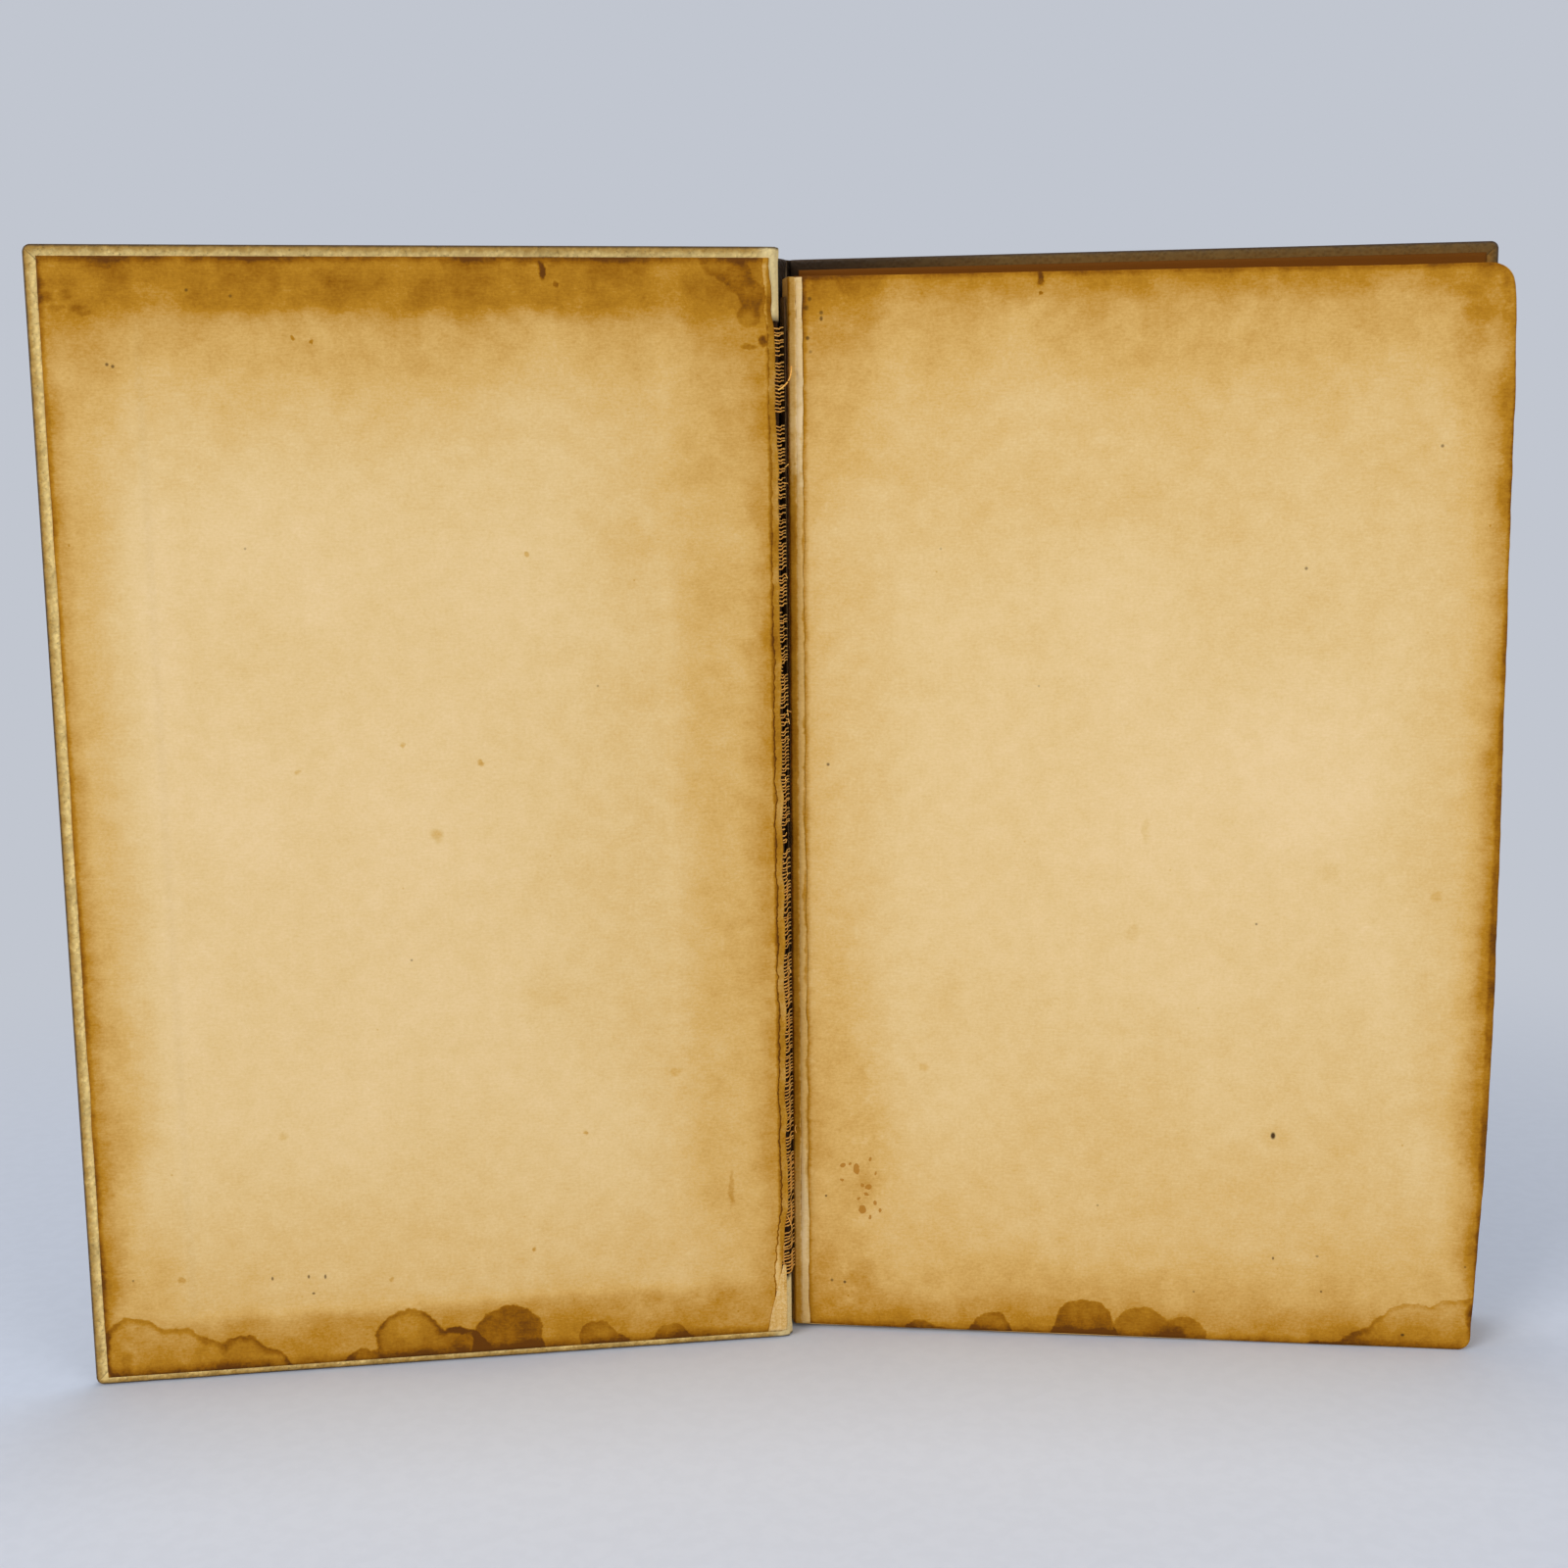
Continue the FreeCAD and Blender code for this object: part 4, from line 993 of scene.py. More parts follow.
def cover_cloth(cover, side, fold, finish, seed):
    """Half of the cover cloth: its outer face with the roll all round, and three turned-in flaps."""
    plan, inward, wrap, inset = cloth_path(cover, side, fold)
    along = distance_along(plan)
    points, flats, faces = [], [], []
    marks = {"turned": [], "rim": [], "seam": []}

    def lay(columns, insets, rise, head, inner, flat, lift=0.0, flip=False, raw_edge=None):
        """One grid of the skin. Rise is the distance in from the head or the tail edge."""
        insets, rise, head = np.broadcast_arrays(insets, rise, head)
        eased_inset, eased_rise, edge = eased(insets, rise)
        thick = wrap[columns][:, None]
        near = np.clip(thick / 2 - edge, 0, thick / 2)
        depth = thick / 2 - np.sqrt(np.maximum((thick / 2) ** 2 - near**2, 0))
        depth = thick - depth + lift if inner else depth
        up = np.where(head, COVER_TALL - eased_rise, eased_rise)
        bumps = 0.05 * rough(flat[0] + 300, flat[1] + 300, 2.6, seed)
        bumps = bumps + 0.035 * rough(flat[0] + 300, flat[1] + 300, 0.9, seed + 1)
        bumps = bumps * np.clip(edge / 0.4, 0.25, 1)
        under_paper = step(edge, 2.5, 1.6) if inner else 0.0
        depth = depth + (bumps if inner else -bumps) * (1 - under_paper) - 0.16 * under_paper
        shift = inset[columns][:, None] - eased_inset
        base = plan[columns][:, None] + shift[..., None] * cover.out
        base = base + depth[..., None] * inward[columns][:, None]
        grid = np.concatenate([base, up[..., None]], -1)
        quads = grid_faces(*grid.shape[:2], first=sum(len(p) for p in points))
        faces.append(quads[:, ::-1] if flip else quads)
        points.append(grid.reshape(-1, 3))
        flats.append(np.stack(np.broadcast_arrays(*flat), -1).reshape(-1, 2))
        seam = np.zeros(grid.shape[:2])
        if raw_edge is not None:
            seam[raw_edge] = 1.0
        marks["turned"].append(np.broadcast_to(1.0 if inner else depth / thick, seam.shape).ravel())
        marks["rim"].append(np.broadcast_to(edge, seam.shape).ravel())
        marks["seam"].append(seam.ravel())

    everywhere = np.arange(len(plan))
    edges = edge_insets()
    rows = np.concatenate([edges, stops(1.35, (6.0, 0.6), (COVER_TALL / 2, 1.5))[1:]])
    rows = np.concatenate([rows, COVER_TALL - rows[-2::-1]])
    rise = np.minimum(rows, COVER_TALL - rows)
    outside_in = side > 0
    lay(everywhere, inset[:, None], rise[None], (rows > COVER_TALL / 2)[None], False,
        (along[:, None] * np.ones_like(rows), rows[None] * np.ones_like(along)[:, None]), flip=outside_in)
    fractions = np.concatenate([edges, stops(1.35, (4.0, 0.33), (HEAD_TURN_IN, 1.3))[1:]]) / HEAD_TURN_IN
    for head, reach in ((True, HEAD_TURN_IN), (False, TAIL_TURN_IN)):
        limit = np.minimum(reach, inset + LAP)[:, None]
        limit = limit + 0.12 * rough(along, 7.0 * head, 3.0, seed + 3)[:, None]
        rises = fractions[None] * limit
        high = (COVER_TALL + rises) if head else -rises
        lift = 0.10 * np.clip((30 - inset[:, None]) / 8, 0, 1)
        lay(everywhere, inset[:, None], rises, head, True, (along[:, None] * np.ones_like(rises), high), lift,
            flip=outside_in == head, raw_edge=np.s_[:, -1])
    fore = np.flatnonzero(inset < 0.0001)
    limit = np.minimum(FORE_TURN_IN, rise)[None]
    limit = limit + 0.12 * rough(rows, 3.0, 3.0, seed + 5)[None] * (rise > 1)
    shares = np.concatenate([edges, stops(1.35, (4.4, 0.33), (FORE_TURN_IN, 1.5))[1:]]) / FORE_TURN_IN
    insets = shares[:, None] * np.maximum(limit, 0.0)
    column = np.full(len(shares), fore[-1])
    lay(column, insets, rise[None], (rows > COVER_TALL / 2)[None], True,
        (along[-1] + insets, rows[None] * np.ones_like(insets)), flip=outside_in, raw_edge=np.s_[-1])
    points, flats = np.concatenate(points), np.concatenate(flats)
    marks = {title: np.concatenate(values) for title, values in marks.items()}
    from_corner = np.minimum(points[:, 2], COVER_TALL - points[:, 2])
    beyond = np.clip(along[-1] - flats[:, 0], 0, None)
    rubbed = np.exp(-from_corner / 1.2) * 0.6 + np.exp(-beyond / 1.2) * 0.6
    rubbed += 0.9 * np.exp(-np.hypot(from_corner, beyond) / 5.0)
    rubbed += 0.35 * np.exp(-((flats[:, 0] - 12.0) / 1.6) ** 2)
    made = piece(f"{cover.name}_cover_cloth", points, np.concatenate(faces), flats, [finish, cloth_back_painted_shade],
                 sharp=60, weld=0.004, rubbed=rubbed, **marks)
    return thicken(made, CLOTH_THICK, 1)


front_skin = cover_cloth(front, -1, 0.45, front_cloth_finish, 11)
rear_skin = cover_cloth(rear, 1, 0.3, rear_cloth_shaded_finish, 23)
print("cover cloth faces:", len(front_skin.data.polygons), len(rear_skin.data.polygons))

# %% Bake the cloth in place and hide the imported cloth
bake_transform(front_skin)
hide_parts("front_cloth", "spine_cloth")
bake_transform(rear_skin)
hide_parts("rear_cloth", "spine_cloth")

# %% [markdown]
# ## Paste-downs
#
# A paste-down is the half of the endpaper that is glued to the board. It goes on wet, so it
# sinks over whatever is under it: the turned-in cloth makes a shallow step all round, and the
# mull another one by the joint. The front one is torn along the joint, where the cover was
# opened once too often. Its edge is ragged and curls up, and its foot has come loose as a
# narrow flap.

# %% Front and rear paste-down
PASTE_FORE, PASTE_HEAD, PASTE_TAIL = 146.1, 232.6, 1.8
PASTE_WIDE = 144.0
MULL_EDGE = 24.65
MULL_FOOT, MULL_TOP = 14.4, 218.5
BARE_LEVEL, MULL_STEP, TURN_IN_STEP = 2.45, 0.13, 0.22
CURL_FROM = 2.7
PAPER_THICK = 0.13


def paste_level(out, high):
    """Level of the paper's face over bare board, mull and turned-in cloth."""
    on_mull = (1 - step(out, MULL_EDGE, 1.2)) * step(high, MULL_FOOT, 1.2) * (1 - step(high, MULL_TOP, 1.2))
    at_ends = np.maximum(1 - step(high, TAIL_TURN_IN, 1.6), step(high, COVER_TALL - HEAD_TURN_IN, 1.6))
    on_turn_in = np.maximum(step(out, COVER_WIDE - FORE_TURN_IN, 1.6), at_ends)
    level = BARE_LEVEL + np.maximum(MULL_STEP * on_mull, TURN_IN_STEP * on_turn_in)
    return level + 0.03 * rough(out, high, 9.0, 31) + 0.012 * rough(out, high, 2.2, 32)


def torn_line(high):
    """Where the front paste-down is torn, out from the hinge line."""
    line = np.interp(high, [0, 16, 30, 100, 130, 165, 185, 205, 218, 221, 235],
                     [2.3, 2.2, 0.7, 0.6, 0.5, 0.5, 0.6, 0.8, 1.0, 1.7, 1.8])
    return line + 0.28 * rough(high, 0.0, 5.0, 41) + 0.16 * rough(high, 3.0, 1.3, 42) + 0.08 * rough(high, 5.0, 0.6, 43)


def paste_down(cover, torn, finish, name, seed):
    """A paste-down as a sheet that follows what lies under it."""
    high = stops(PASTE_TAIL, (PASTE_HEAD, 0.8))
    share = stops(0.0, (6.0, 0.3), (26.0, 0.9), (122.0, 1.6), (134.0, 0.7), (PASTE_WIDE, 0.7)) / PASTE_WIDE
    start = torn_line(high) if torn else np.full_like(high, 2.3)
    ends = PASTE_FORE + 0.12 * rough(high, 9.0, 8.0, seed)
    out = start[None] + share[:, None] * (ends - start)[None]
    high = high[None] * np.ones_like(out)
    level = paste_level(out, high)
    edge = out - start[None]
    if torn:
        drop = np.clip((CURL_FROM - out) / 1.8, 0, 1)
        ridge = np.exp(-((out - CURL_FROM) / 0.35) ** 2) * (0.6 + 0.4 * rough(high, 1.0, 12.0, seed + 4))
        level = level - 0.75 * drop**1.4 + 0.12 * ridge
        level = level + np.exp(-edge / 0.35) * (0.10 + 0.16 * rough(high, 0.0, 2.1, seed + 2))
    grid = cover.place(out, level, high)
    faces = grid_faces(*grid.shape[:2])
    faces = faces[:, ::-1] if cover is front else faces
    near_tear = np.clip(1 - edge / 2.2, 0, 1) if torn else np.zeros_like(edge)
    flat = np.stack([out, high], -1)
    made = piece(name, grid, faces, flat, [finish], sharp=70, near_tear=near_tear)
    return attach(thicken(made, PAPER_THICK), cover.body)


front_paper = paste_down(front, True, paste_paper, "front_endpaper_pasted", 51)
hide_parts("front_paste_down")
rear_paper_sheet = paste_down(rear, False, rear_paper, "rear_endpaper_pasted", 61)
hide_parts("rear_paste_down")
print("paste-down faces:", len(front_paper.data.polygons))

# %% The loose flap at the foot of the tear
FLAP_FOOT = 2.0
FLAP_TOP = 17.0
high = stops(FLAP_FOOT, (FLAP_TOP, 0.35))
up_share = (high - FLAP_FOOT) / (FLAP_TOP - FLAP_FOOT)
across = np.linspace(0, 1, 13)
far = np.interp(up_share, [0, 0.35, 0.7, 1], [5.4, 4.3, 3.1, 1.9]) + 0.12 * rough(high, 1.0, 1.4, 71)
near = np.interp(up_share, [0, 0.35, 0.7, 1], [1.2, 1.1, 1.1, 1.2]) + 0.10 * rough(high, 2.0, 1.2, 72)
out = near[None] + across[:, None] * (far - near)[None]
over_paper = np.interp(out, [1.2, 3.9, 5.4], [2.80, 2.83, 2.96])
level = over_paper - 0.3 * np.clip(up_share, 0.6, 1)[None] + 0.18 + 0.02 * rough(out, high[None], 1.2, 73)
grid = front.place(out, level, high[None])
flap = piece("front_torn_flap", grid, grid_faces(*grid.shape[:2])[:, ::-1],
             np.stack([out, high[None] * np.ones_like(out)], -1), [torn_paper], sharp=80)
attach(thicken(flap, 0.12), "front_cover")

# %% [markdown]
# ## The leaves
#
# A book block is a few hundred leaves, sewn in sections. Cutting it into leaves would make the
# model heavy, so it is one stack of thin layers. Each layer has its own outline, a few
# hundredths of a millimetre longer or shorter than the next, and each section its own step.
# The back is round and has a cleft between two sections, and the fore edge is hollow to match.
# The corners at the head are thumbed round, more at the front of the book than inside it.

# %% The stack of leaves
HALF_BLOCK = 8.8
BACK_RADIUS = 18.22
BACK_RISE = 2.0
SECTIONS = 11
LAYERS_PER_SECTION = 9.4
CLEFT_DEEP, CLEFT_HALF = 0.4, 0.25
FORE_HOLLOW = 1.6
LAYER = 0.17


def fore_line(high):
    """How far the fore edge stands out or in along its height, as the leaves have slumped."""
    line = np.interp(high, [0, 12, 27, 50, 97, 145, 190, 205, 226, 229],
                     [0, 0.1, 0.4, 1.1, 1.0, 0.25, -0.15, 0.3, 0, 0])
    soft = np.interp(high, [0, 20, 40, 75, 120, 170, 198, 216, 229],
                     [0, 0.2, 0.8, 1.15, 0.6, 0.0, 0.05, 0.2, 0])
    slump = np.interp(high, [0, 12, 35, 160, 200, 229], [0, 0.5, 0.85, 1.15, 0.8, -0.2])
    return 0.35 * line + 0.65 * soft + slump


def back_line(through):
    """The rounded back of the leaves, with clefts between the sections."""
    half_back = HALF_BLOCK - 0.5
    held = np.clip(through, -half_back, half_back)
    line = BACK_RADIUS - BACK_RISE - np.sqrt(BACK_RADIUS**2 - held**2)
    spread_half = math.asin(half_back / BACK_RADIUS)
    section = (np.arcsin(held / BACK_RADIUS) + spread_half) / (2 * spread_half) * SECTIONS
    from_cleft = np.abs(section - np.round(section)) * (2 * half_back) / SECTIONS
    inner = (np.round(section) > 0) & (np.round(section) < SECTIONS)
    cleft = CLEFT_DEEP * np.clip(1 - from_cleft / CLEFT_HALF, 0, 1)
    return line + np.where(inner, cleft, 0) + (np.abs(through) - np.abs(held))


def round_corner(x, z, radius, turns):
    """Points round a corner of the leaves, about a centre."""
    return [(x + radius * math.cos(math.radians(turn)), z + radius * math.sin(math.radians(turn)))
            for turn in turns]


def leaf_outline(through, number):
    """One layer's outline, from the foot of the gutter round by the fore edge and back down the back."""
    section = int(number / LAYERS_PER_SECTION)
    draw = np.random.default_rng(900 + number)
    shorter = 0.07 * draw.uniform() + 0.10 * np.random.default_rng(700 + section).uniform()
    wide = LEAF_WIDE - FORE_HOLLOW * (1 - (through / HALF_BLOCK) ** 2) - shorter
    inside = np.clip((through + HALF_BLOCK) / 3.0, 0, 1)
    head_round = 4.6 - 1.0 * inside + 0.35 * draw.uniform(-1, 1)
    tail_round = 2.5 - 0.5 * inside + 0.2 * draw.uniform(-1, 1)
    tail = 0.12 * draw.uniform() + 0.08 * np.random.default_rng(710 + section).uniform()
    head = LEAF_TALL - 0.12 * draw.uniform() - 0.10 * np.random.default_rng(720 + section).uniform()
    back = float(back_line(np.array(through)))
    foot = np.linspace(back, wide - tail_round, 70)
    outline = [(x, tail + 0.03 * rough(x, number * 0.5, 3.0, 81)) for x in foot[:-1]]
    outline += round_corner(wide - tail_round, tail + tail_round, tail_round, np.linspace(-90, 0, 7))
    rising = np.linspace(tail + tail_round, head - head_round, 130)[1:-1]
    ripple = 0.05 * rough(rising, number * 0.7, 2.6, 83) + 0.05 * rough(rising, number * 0.21, 9.0, 84)
    outline += list(zip(wide + fore_line(rising) + ripple, rising))
    outline += round_corner(wide - head_round, head - head_round, head_round, np.linspace(0, 90, 11))
    top = np.linspace(wide - head_round, back, 70)
    outline += [(x, head + 0.03 * rough(x, number * 0.5, 3.0, 82)) for x in top[1:]]
    outline += [(back, z) for z in np.linspace(head, tail, 60)[1:-1]]
    return np.array(outline, float)


layers = stops(-8.5, (HALF_BLOCK - 0.12, LAYER))
rings = np.stack([leaf_outline(through, number) for number, through in enumerate(layers)], 1)
block = leaf_place(rings[..., 0], layers[None], rings[..., 1])
around = distance_along(rings[:, 0])
flat = np.stack(np.broadcast_arrays(around[:, None], layers[None]), -1)
faces = [list(face) for face in grid_faces(*block.shape[:2], closed=True)]
numbers = np.arange(block.shape[0] * block.shape[1]).reshape(block.shape[:2])
faces.append(list(numbers[:, 0]))
faces.append(list(numbers[::-1, -1]))
leaf_stack = piece("leaf_stack", block, faces, flat, [leaf_edges], sharp=35)
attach(leaf_stack, "leaves")
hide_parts("text_block")
print("leaf layers:", len(layers), "faces:", len(leaf_stack.data.polygons))

# %% [markdown]
# ## The first and last leaf
#
# The outermost leaves are seen whole, so each is a sheet of its own, laid on the stack. Damp has
# cockled them a little: the waves are low, and grow towards the free edges. The front one is
# more thumbed at the corner than the leaves behind it, so their paler edges show round it.

# %% Outer leaves
LEAF_STEP = 1.45
LEAF_THICK = 0.1
TAIL_ROUND = 2.4
NEAR_TAIL = 20
SLUMP_REACH = 12.0


def outer_leaf(name, through, facing, begins, finish, head_round, seed):
    """A free leaf on one face of the stack, cockled and with worn corners."""
    outs = stops(begins, (begins + 5.0, 0.4), (LEAF_WIDE - 6.0, LEAF_STEP), (LEAF_WIDE, 0.6))
    highs = stops(0.0, (6.0, 0.6), (LEAF_TALL - 7.0, LEAF_STEP), (LEAF_TALL, 0.6))
    out, high = np.meshgrid(outs, highs, indexing="ij")
    from_fore, from_head = corner_ease(LEAF_WIDE - out, LEAF_TALL - high, head_round)
    near_tail = high < NEAR_TAIL
    from_fore, from_tail = corner_ease(from_fore, np.where(near_tail, high, FAR_FROM_EDGE), TAIL_ROUND)
    out = LEAF_WIDE - from_fore
    high = np.where(near_tail, from_tail, LEAF_TALL - from_head)
    at_fore = np.clip(1 - from_fore / SLUMP_REACH, 0, 1)
    nibbled = 0.07 * rough(high, 0.0, 3.4, seed) + 0.05 * rough(high, 4.0, 1.5, seed + 1)
    out = out + at_fore**2 * (fore_line(high) + nibbled)
    free = np.clip((out - begins) / 40.0, 0, 1)
    waves = 0.055 * rough(out, high, 34.0, seed + 2) + 0.03 * rough(out, high, 13.0, seed + 3)
    ends = np.exp(-high / 14.0) + np.exp(-(LEAF_TALL - high) / 18.0) + np.exp(-from_fore / 12.0)
    waves = waves * (0.6 + 0.5 * free) + 0.05 * ends * rough(out, high, 19.0, seed + 4)
    high = high + np.exp(-high / 8.0) * 0.13 * (1 + rough(out, 0.0, 21.0, seed + 5))
    high = high + np.exp(-(LEAF_TALL - high) / 8.0) * 0.12 * rough(out, 9.0, 24.0, seed + 6)
    grid = leaf_place(out, through + waves, high)
    faces = grid_faces(*grid.shape[:2])
    faces = faces[:, ::-1] if facing > 0 else faces
    made = piece(name, grid, faces, np.stack([out, high], -1), [finish], sharp=70)
    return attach(thicken(made, LEAF_THICK), "leaves")


first_leaf = outer_leaf(
    "first_leaf", -8.66, facing=-1, begins=1.2, finish=page_paper, head_round=4.9, seed=101
)
outer_leaf("last_leaf", HALF_BLOCK - 0.02, facing=1, begins=0.6, finish=rear_paper, head_round=5.0, seed=111)
print("first leaf faces:", len(first_leaf.data.polygons))

# %% [markdown]
# ## The stub along the gutter
#
# Beside it, on the leaf, a brown line is painted: partly the paste that once held it, partly painted
# shadow of its step. The strip has a crease down its middle, a ragged free edge that lifts a
# little, and at its other edge it rounds the corner of the leaves into the joint, where its
# paper is painted darker as shade.

# %% Torn stub
STUB_WIDE = 3.25
STUB_THROUGH = -8.78
highs = stops(0.25, (LEAF_TALL - 0.2, 0.7))
lines = stops(0.0, (1.0, 0.05))
free_edge = STUB_WIDE + 0.22 * rough(highs, 0.0, 6.0, 121) + 0.14 * rough(highs, 2.0, 1.5, 122)
free_edge = free_edge + np.interp(highs, [0, 20, 90, 120, 228], [0.35, 0.2, 0.0, -0.1, 0.0])
out = free_edge[None] * lines[:, None]
through = STUB_THROUGH + np.zeros_like(out)
through = through + 0.55 * np.clip(1 - out / 0.55, 0, 1) ** 2
crease = 1.75 + 0.12 * rough(highs, 7.0, 14.0, 123)
standing = np.interp(highs, [18, 26], [0, 1])[None]
through = through + 0.13 * np.exp(-((out - crease[None]) / 0.14) ** 2)
through = through - 0.12 * standing * np.exp(-((out - 2.5) / 0.45) ** 2)
through = through - 0.13 * standing * lines[:, None] ** 8 * (0.6 + 0.6 * rough(highs, 1.0, 4.0, 124))[None]
through = through + 0.03 * rough(out, highs[None], 1.1, 125)
flat = np.stack([out, highs[None] * np.ones_like(out)], -1)
grid = leaf_place(out - 0.15, through, highs[None])
stub = piece("torn_stub", grid, grid_faces(*grid.shape[:2]), flat, [stub_paper], sharp=80)
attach(thicken(stub, LEAF_THICK), "leaves")

# %% [markdown]
# ## Mull in the cracked joint
#
# Mull is a stiffened open-weave cotton. It is glued round the back of the leaves and spreads on
# to the boards, so it is what still holds the front cover on. Here it shows: thin cross threads
# like a ladder, every three quarters of a millimetre, and one lengthwise. They bend when
# the cover moves. A helper draws every thread as a thin tube along its own points.

# %% Threads
TUBE_SIDES = 5


def tubes(lines, radius):
    """Points and faces of thin tubes along polylines, with a flat map along and round each."""
    points, faces, flats, count = [], [], [], 0
    turns = np.linspace(0, 2 * math.pi, TUBE_SIDES, endpoint=False)
    radii = np.broadcast_to(radius, len(lines))
    for number, line in enumerate(lines):
        way = np.gradient(line, axis=0)
        way /= np.linalg.norm(way, axis=1)[:, None] + 1e-9
        side = np.cross(way, (0.31, 0.77, 0.55))
        side /= np.linalg.norm(side, axis=1)[:, None]
        other = np.cross(way, side)
        thin = np.linspace(0, 1, len(line))
        size = radii[number] * (0.85 + 0.3 * rough(thin, number * 1.7, 0.3, 131))
        ring = (side[None] * np.cos(turns)[:, None, None] + other[None] * np.sin(turns)[:, None, None])
        tube = line[None] + ring * size[None, :, None]
        points.append(tube.reshape(-1, 3))
        faces.append(grid_faces(TUBE_SIDES, len(line), count, closed=True))
        run = distance_along(line)
        flat = np.broadcast_arrays(run[None] + number * 3.1, turns[:, None] * radii[number])
        flats.append(np.stack(flat, -1).reshape(-1, 2))
        count += TUBE_SIDES * len(line)
    return np.concatenate(points), np.concatenate(faces), np.concatenate(flats)


def thread_path(cover_points, leaf_points, cover):
    """The way of the mull in plan, from under the paste-down, down into the joint and up to the leaves."""
    plan = np.concatenate([cover.place(*np.array(cover_points).T, 0.0)[:, :2], np.array(leaf_points)])
    return plan, distance_along(plan)


def on_path(plan, run, along):
    """A plan point at a distance along the path."""
    return np.stack([np.interp(along, run, plan[:, 0]), np.interp(along, run, plan[:, 1])], -1)


MULL_PITCH = 0.77
THREAD = 0.17
LENGTHWISE_AT = 3.0
MISSING_SHARE = 0.06
SNAPPED_SHARE = 0.12
front_plan, front_run = thread_path(
    [(4.6, 2.2), (2.7, 2.2), (1.9, 1.95), (1.2, 1.5), (0.65, 1.05), (0.2, 0.75)],
    [(3.6, -11.6), (3.6, -10.6), (3.62, -9.6), (3.74, -8.8), (4.1, -8.3)], front,
)
lines = []
draw = np.random.default_rng(151)
stations = np.linspace(0.0, front_run[-1], 15)
for height in np.arange(MULL_FOOT, MULL_TOP, MULL_PITCH):
    if draw.uniform() < MISSING_SHARE:
        continue
    height = height + draw.uniform(-0.14, 0.14)
    slant = 0.2 + 0.3 * rough(height, 0.0, 9.0, 152) + draw.uniform(-0.14, 0.14)
    ends = front_run[-1] * (1.0 if draw.uniform() > SNAPPED_SHARE else draw.uniform(0.55, 0.85))
    along = stations[stations <= ends + 1e-6]
    plan = on_path(front_plan, front_run, along)
    wander = 0.10 * rough(along, height * 3.0, 0.9, 153)
    share = along / front_run[-1]
    bent = slant * (2 * share - 1) + 0.28 * np.abs(np.clip(share - 0.62, -0.25, 0.25)) / 0.25
    lines.append(np.column_stack([plan, height + bent + wander]))
heights = np.arange(MULL_FOOT, MULL_TOP, 0.5)
sway = LENGTHWISE_AT + 0.18 * rough(heights, 0.0, 4.0, 154) + 0.08 * rough(heights, 0.0, 1.2, 155)
plan = on_path(front_plan, front_run, sway)
lines.append(np.column_stack([plan[:, 0], plan[:, 1] - 0.06, heights]))
points, faces, flats = tubes(lines, THREAD)
mull = piece("front_joint_mull", points, faces, flats, [mull_thread_painted_bounce], sharp=180)
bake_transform(mull)
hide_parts("front_mull")
print("threads:", len(lines), "faces:", len(mull.data.polygons))

# %% Loose thread ends
def in_crack(x, y, depth):
    """A spot in the joint behind a pixel of the photograph, at a distance through from the front."""
    start, way = np.array(camera_place) / MM, ray((x, y))
    return start + way * (depth - start[1]) / way[1]


def soft_line(spots, count=16):
    """A smooth line through a few spots."""
    spots = np.array(spots)
    share = np.linspace(0, len(spots) - 1, count)
    line = np.stack([np.interp(share, np.arange(len(spots)), spots[:, axis]) for axis in range(3)], -1)
    return smoothed(line, 4)


loose = [
    soft_line([in_crack(794, 398, -14.9), in_crack(798, 396, -15.0), in_crack(802, 392, -14.0),
               in_crack(806, 387, -12.4), in_crack(807.5, 380, -11.0), in_crack(807.5, 374, -10.0)]),
    soft_line([in_crack(803, 1240, -13.4), in_crack(806, 1246, -12.9), in_crack(808, 1252, -12.6)]),
    soft_line([in_crack(812, 1148, -9.6), in_crack(811, 1152, -10.2), in_crack(812.5, 1156, -9.9)]),
]
draw = np.random.default_rng(161)
FINE_ENDS, FINE_END = 16, 0.09
for _ in range(FINE_ENDS):
    height = draw.uniform(340, 1230)
    x = np.interp(height, [340, 700, 1230], [799, 803, 806])
    swing = draw.uniform(-5, 5)
    loose.append(soft_line([
        in_crack(x, height, -12.6), in_crack(x + swing * 0.5, height + draw.uniform(-3, 3), -12.9),
        in_crack(x + swing, height + draw.uniform(-6, 6), -13.2 + draw.uniform(-0.4, 0.3)),
    ], 8))
points, faces, flats = tubes(loose, [0.17, 0.12, 0.12] + [FINE_END] * FINE_ENDS)
ends = piece("front_joint_thread_ends", points, faces, flats, [mull_thread_painted_bounce], sharp=180)
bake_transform(ends)

# %% [markdown]
# ## The sound rear joint
#
# At the rear the endpaper is whole. It runs from the last leaf down into the joint and up on to
# the rear board in one piece, with slack folded into the joint so that the cover can open flat.

# %% Rear endpaper in the joint
rear_plan = np.array([
    (7.2, 9.12), (6.2, 9.10), (5.75, 9.22), (5.5, 9.7), (5.42, 10.4), (5.2, 11.0), (4.85, 11.25),
    (4.5, 11.1), (4.3, 10.5), (4.2, 9.8), (4.3, 9.2), (4.7, 8.95), (5.6, 8.90),
])
rear_run = distance_along(rear_plan)
along = np.linspace(0, rear_run[-1], 30)
plan = smoothed(on_path(rear_plan, rear_run, along), 2)
highs = stops(2.4, (LEAF_TALL - 0.2, 1.6))
tall = np.broadcast_to(highs[None, :, None], (len(plan), len(highs), 1))
grid = np.concatenate([np.repeat(plan[:, None], len(highs), 1), tall], -1)
strip = piece("rear_joint_endpaper", grid, grid_faces(*grid.shape[:2])[:, ::-1],
              np.stack(np.broadcast_arrays(along[:, None] + 3.0, highs[None]), -1), [rear_paper], sharp=60)
thicken(strip, LEAF_THICK)
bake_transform(strip)

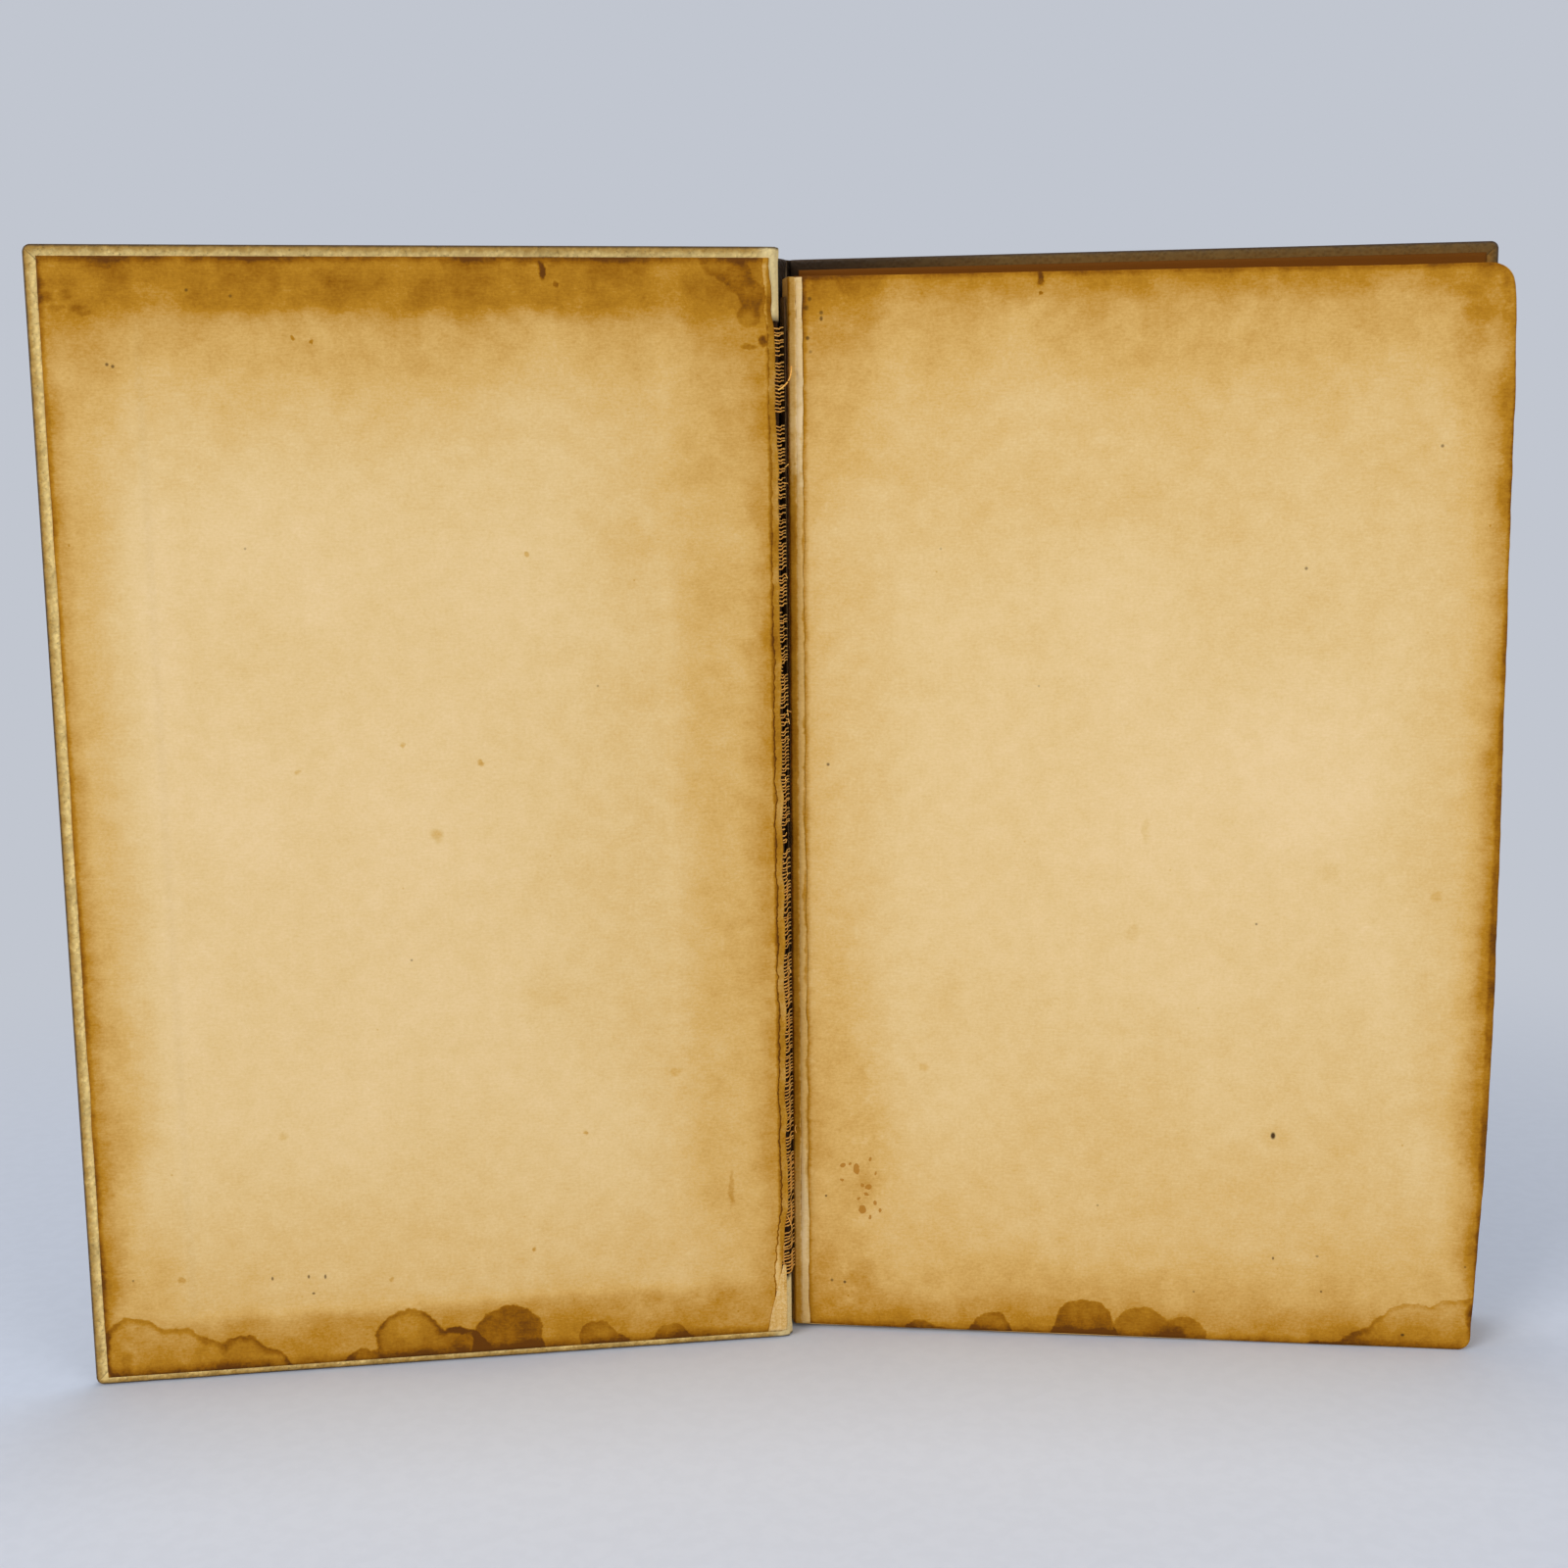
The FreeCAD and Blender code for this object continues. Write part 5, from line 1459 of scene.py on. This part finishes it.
# %% [markdown]
# ## Light and floor
#
# The book was photographed on a pale sheet in soft daylight. One wide lamp from the upper left
# models the joints and the page edges, a weaker one fills from the right, a small one overhead
# lights the floor behind, and a pale world lights the rest. The floor is a plain pale plane.
# Far from the book it fades, for the camera and in reflections alone, into the same pale
# blue-grey as the world, so that no horizon shows.

# %% World
BACKDROP = colour(193, 198, 208)
SKY_STRENGTH = 0.62
FADE_FROM, FADE_TO = 0.14, 0.46


def seen_directly(tree):
    """1 where the camera, a mirror or clear glass looks, and 0 where only scattered light goes."""
    path = add(tree, "ShaderNodeLightPath").outputs
    mirrored = sums(tree, "MAXIMUM", path["Is Glossy Ray"], path["Is Transmission Ray"])
    return sums(tree, "MAXIMUM", path["Is Camera Ray"], mirrored)


scene = bpy.context.scene
scene.view_settings.view_transform = "Standard"
world = bpy.data.worlds.new("daylight")
scene.world = world
world.use_nodes = True
tree = world.node_tree
sky = next(n for n in tree.nodes if n.type == "BACKGROUND")
seen = seen_directly(tree)
tree.links.new(mixed(tree, seen, colour(214, 218, 226), BACKDROP), sky.inputs["Color"])
tree.links.new(spread(tree, seen, 0.0, 1.0, SKY_STRENGTH, 1.0), sky.inputs["Strength"])

# %% Floor
floor_finish, tree, shader = new_finish("pale_sheet")
output = next(n for n in tree.nodes if n.type == "OUTPUT_MATERIAL")
spot = add(tree, "ShaderNodeTexCoord").outputs["Object"]
grain = noise(tree, spot, 260.0, 3.0).outputs["Fac"]
grain = spread(tree, grain, 0.4, 0.6, 0.0, 0.25)
tree.links.new(mixed(tree, grain, colour(209, 215, 227), colour(201, 207, 219)), shader.inputs["Base Color"])
shader.inputs["Roughness"].default_value = 0.95
shader.inputs["Specular IOR Level"].default_value = 0.1
glow = add(tree, "ShaderNodeEmission", {"Color": BACKDROP, "Strength": 1.0})
away = add(tree, "ShaderNodeVectorMath", {0: spot}, operation="LENGTH").outputs["Value"]
fade = sums(tree, "MULTIPLY", spread(tree, away, FADE_FROM, FADE_TO), seen_directly(tree))
mix = add(tree, "ShaderNodeMixShader", {0: fade, 1: shader.outputs[0], 2: glow.outputs[0]})
tree.links.new(mix.outputs[0], output.inputs["Surface"])

FLOOR_HALF = 3.0
floor_mesh = bpy.data.meshes.new("floor")
corners = [(x * FLOOR_HALF, y * FLOOR_HALF, 0) for x, y in ((-1, -1), (1, -1), (1, 1), (-1, 1))]
floor_mesh.from_pydata(corners, [], [(0, 1, 2, 3)])
floor_mesh.materials.append(floor_finish)
floor = bpy.data.objects.new("floor", floor_mesh)
scene.collection.objects.link(floor)
floor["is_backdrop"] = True


# %% Lamps
def lamp(name, place, towards, size, power, tint):
    """A soft square lamp that faces a spot."""
    light = bpy.data.lights.new(name, "AREA")
    light.size = size
    light.energy = power
    light.color = tint
    made = bpy.data.objects.new(name, light)
    scene.collection.objects.link(made)
    made.location = place
    made.rotation_mode = "QUATERNION"
    made.rotation_quaternion = (Vector(towards) - Vector(place)).to_track_quat("-Z", "Y")
    return made


BOOK_MIDDLE = (0.0, 0.0, 0.11)
lamp("window", (-1.3, -1.8, 1.05), BOOK_MIDDLE, 1.1, 30.0, (1.0, 0.99, 0.975))
lamp("fill", (1.4, -1.2, 0.6), BOOK_MIDDLE, 1.1, 10.0, (0.96, 0.98, 1.0))
lamp("overhead", (0.0, 0.16, 1.7), BOOK_MIDDLE, 0.4, 6.0, (0.98, 0.99, 1.0))

# %% Keep both boxes and finish
own_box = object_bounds()
for title, box in (("cad box:", cad_box), ("scene box:", own_box)):
    print(title, [tuple(round(v, 4) for v in corner) for corner in box])
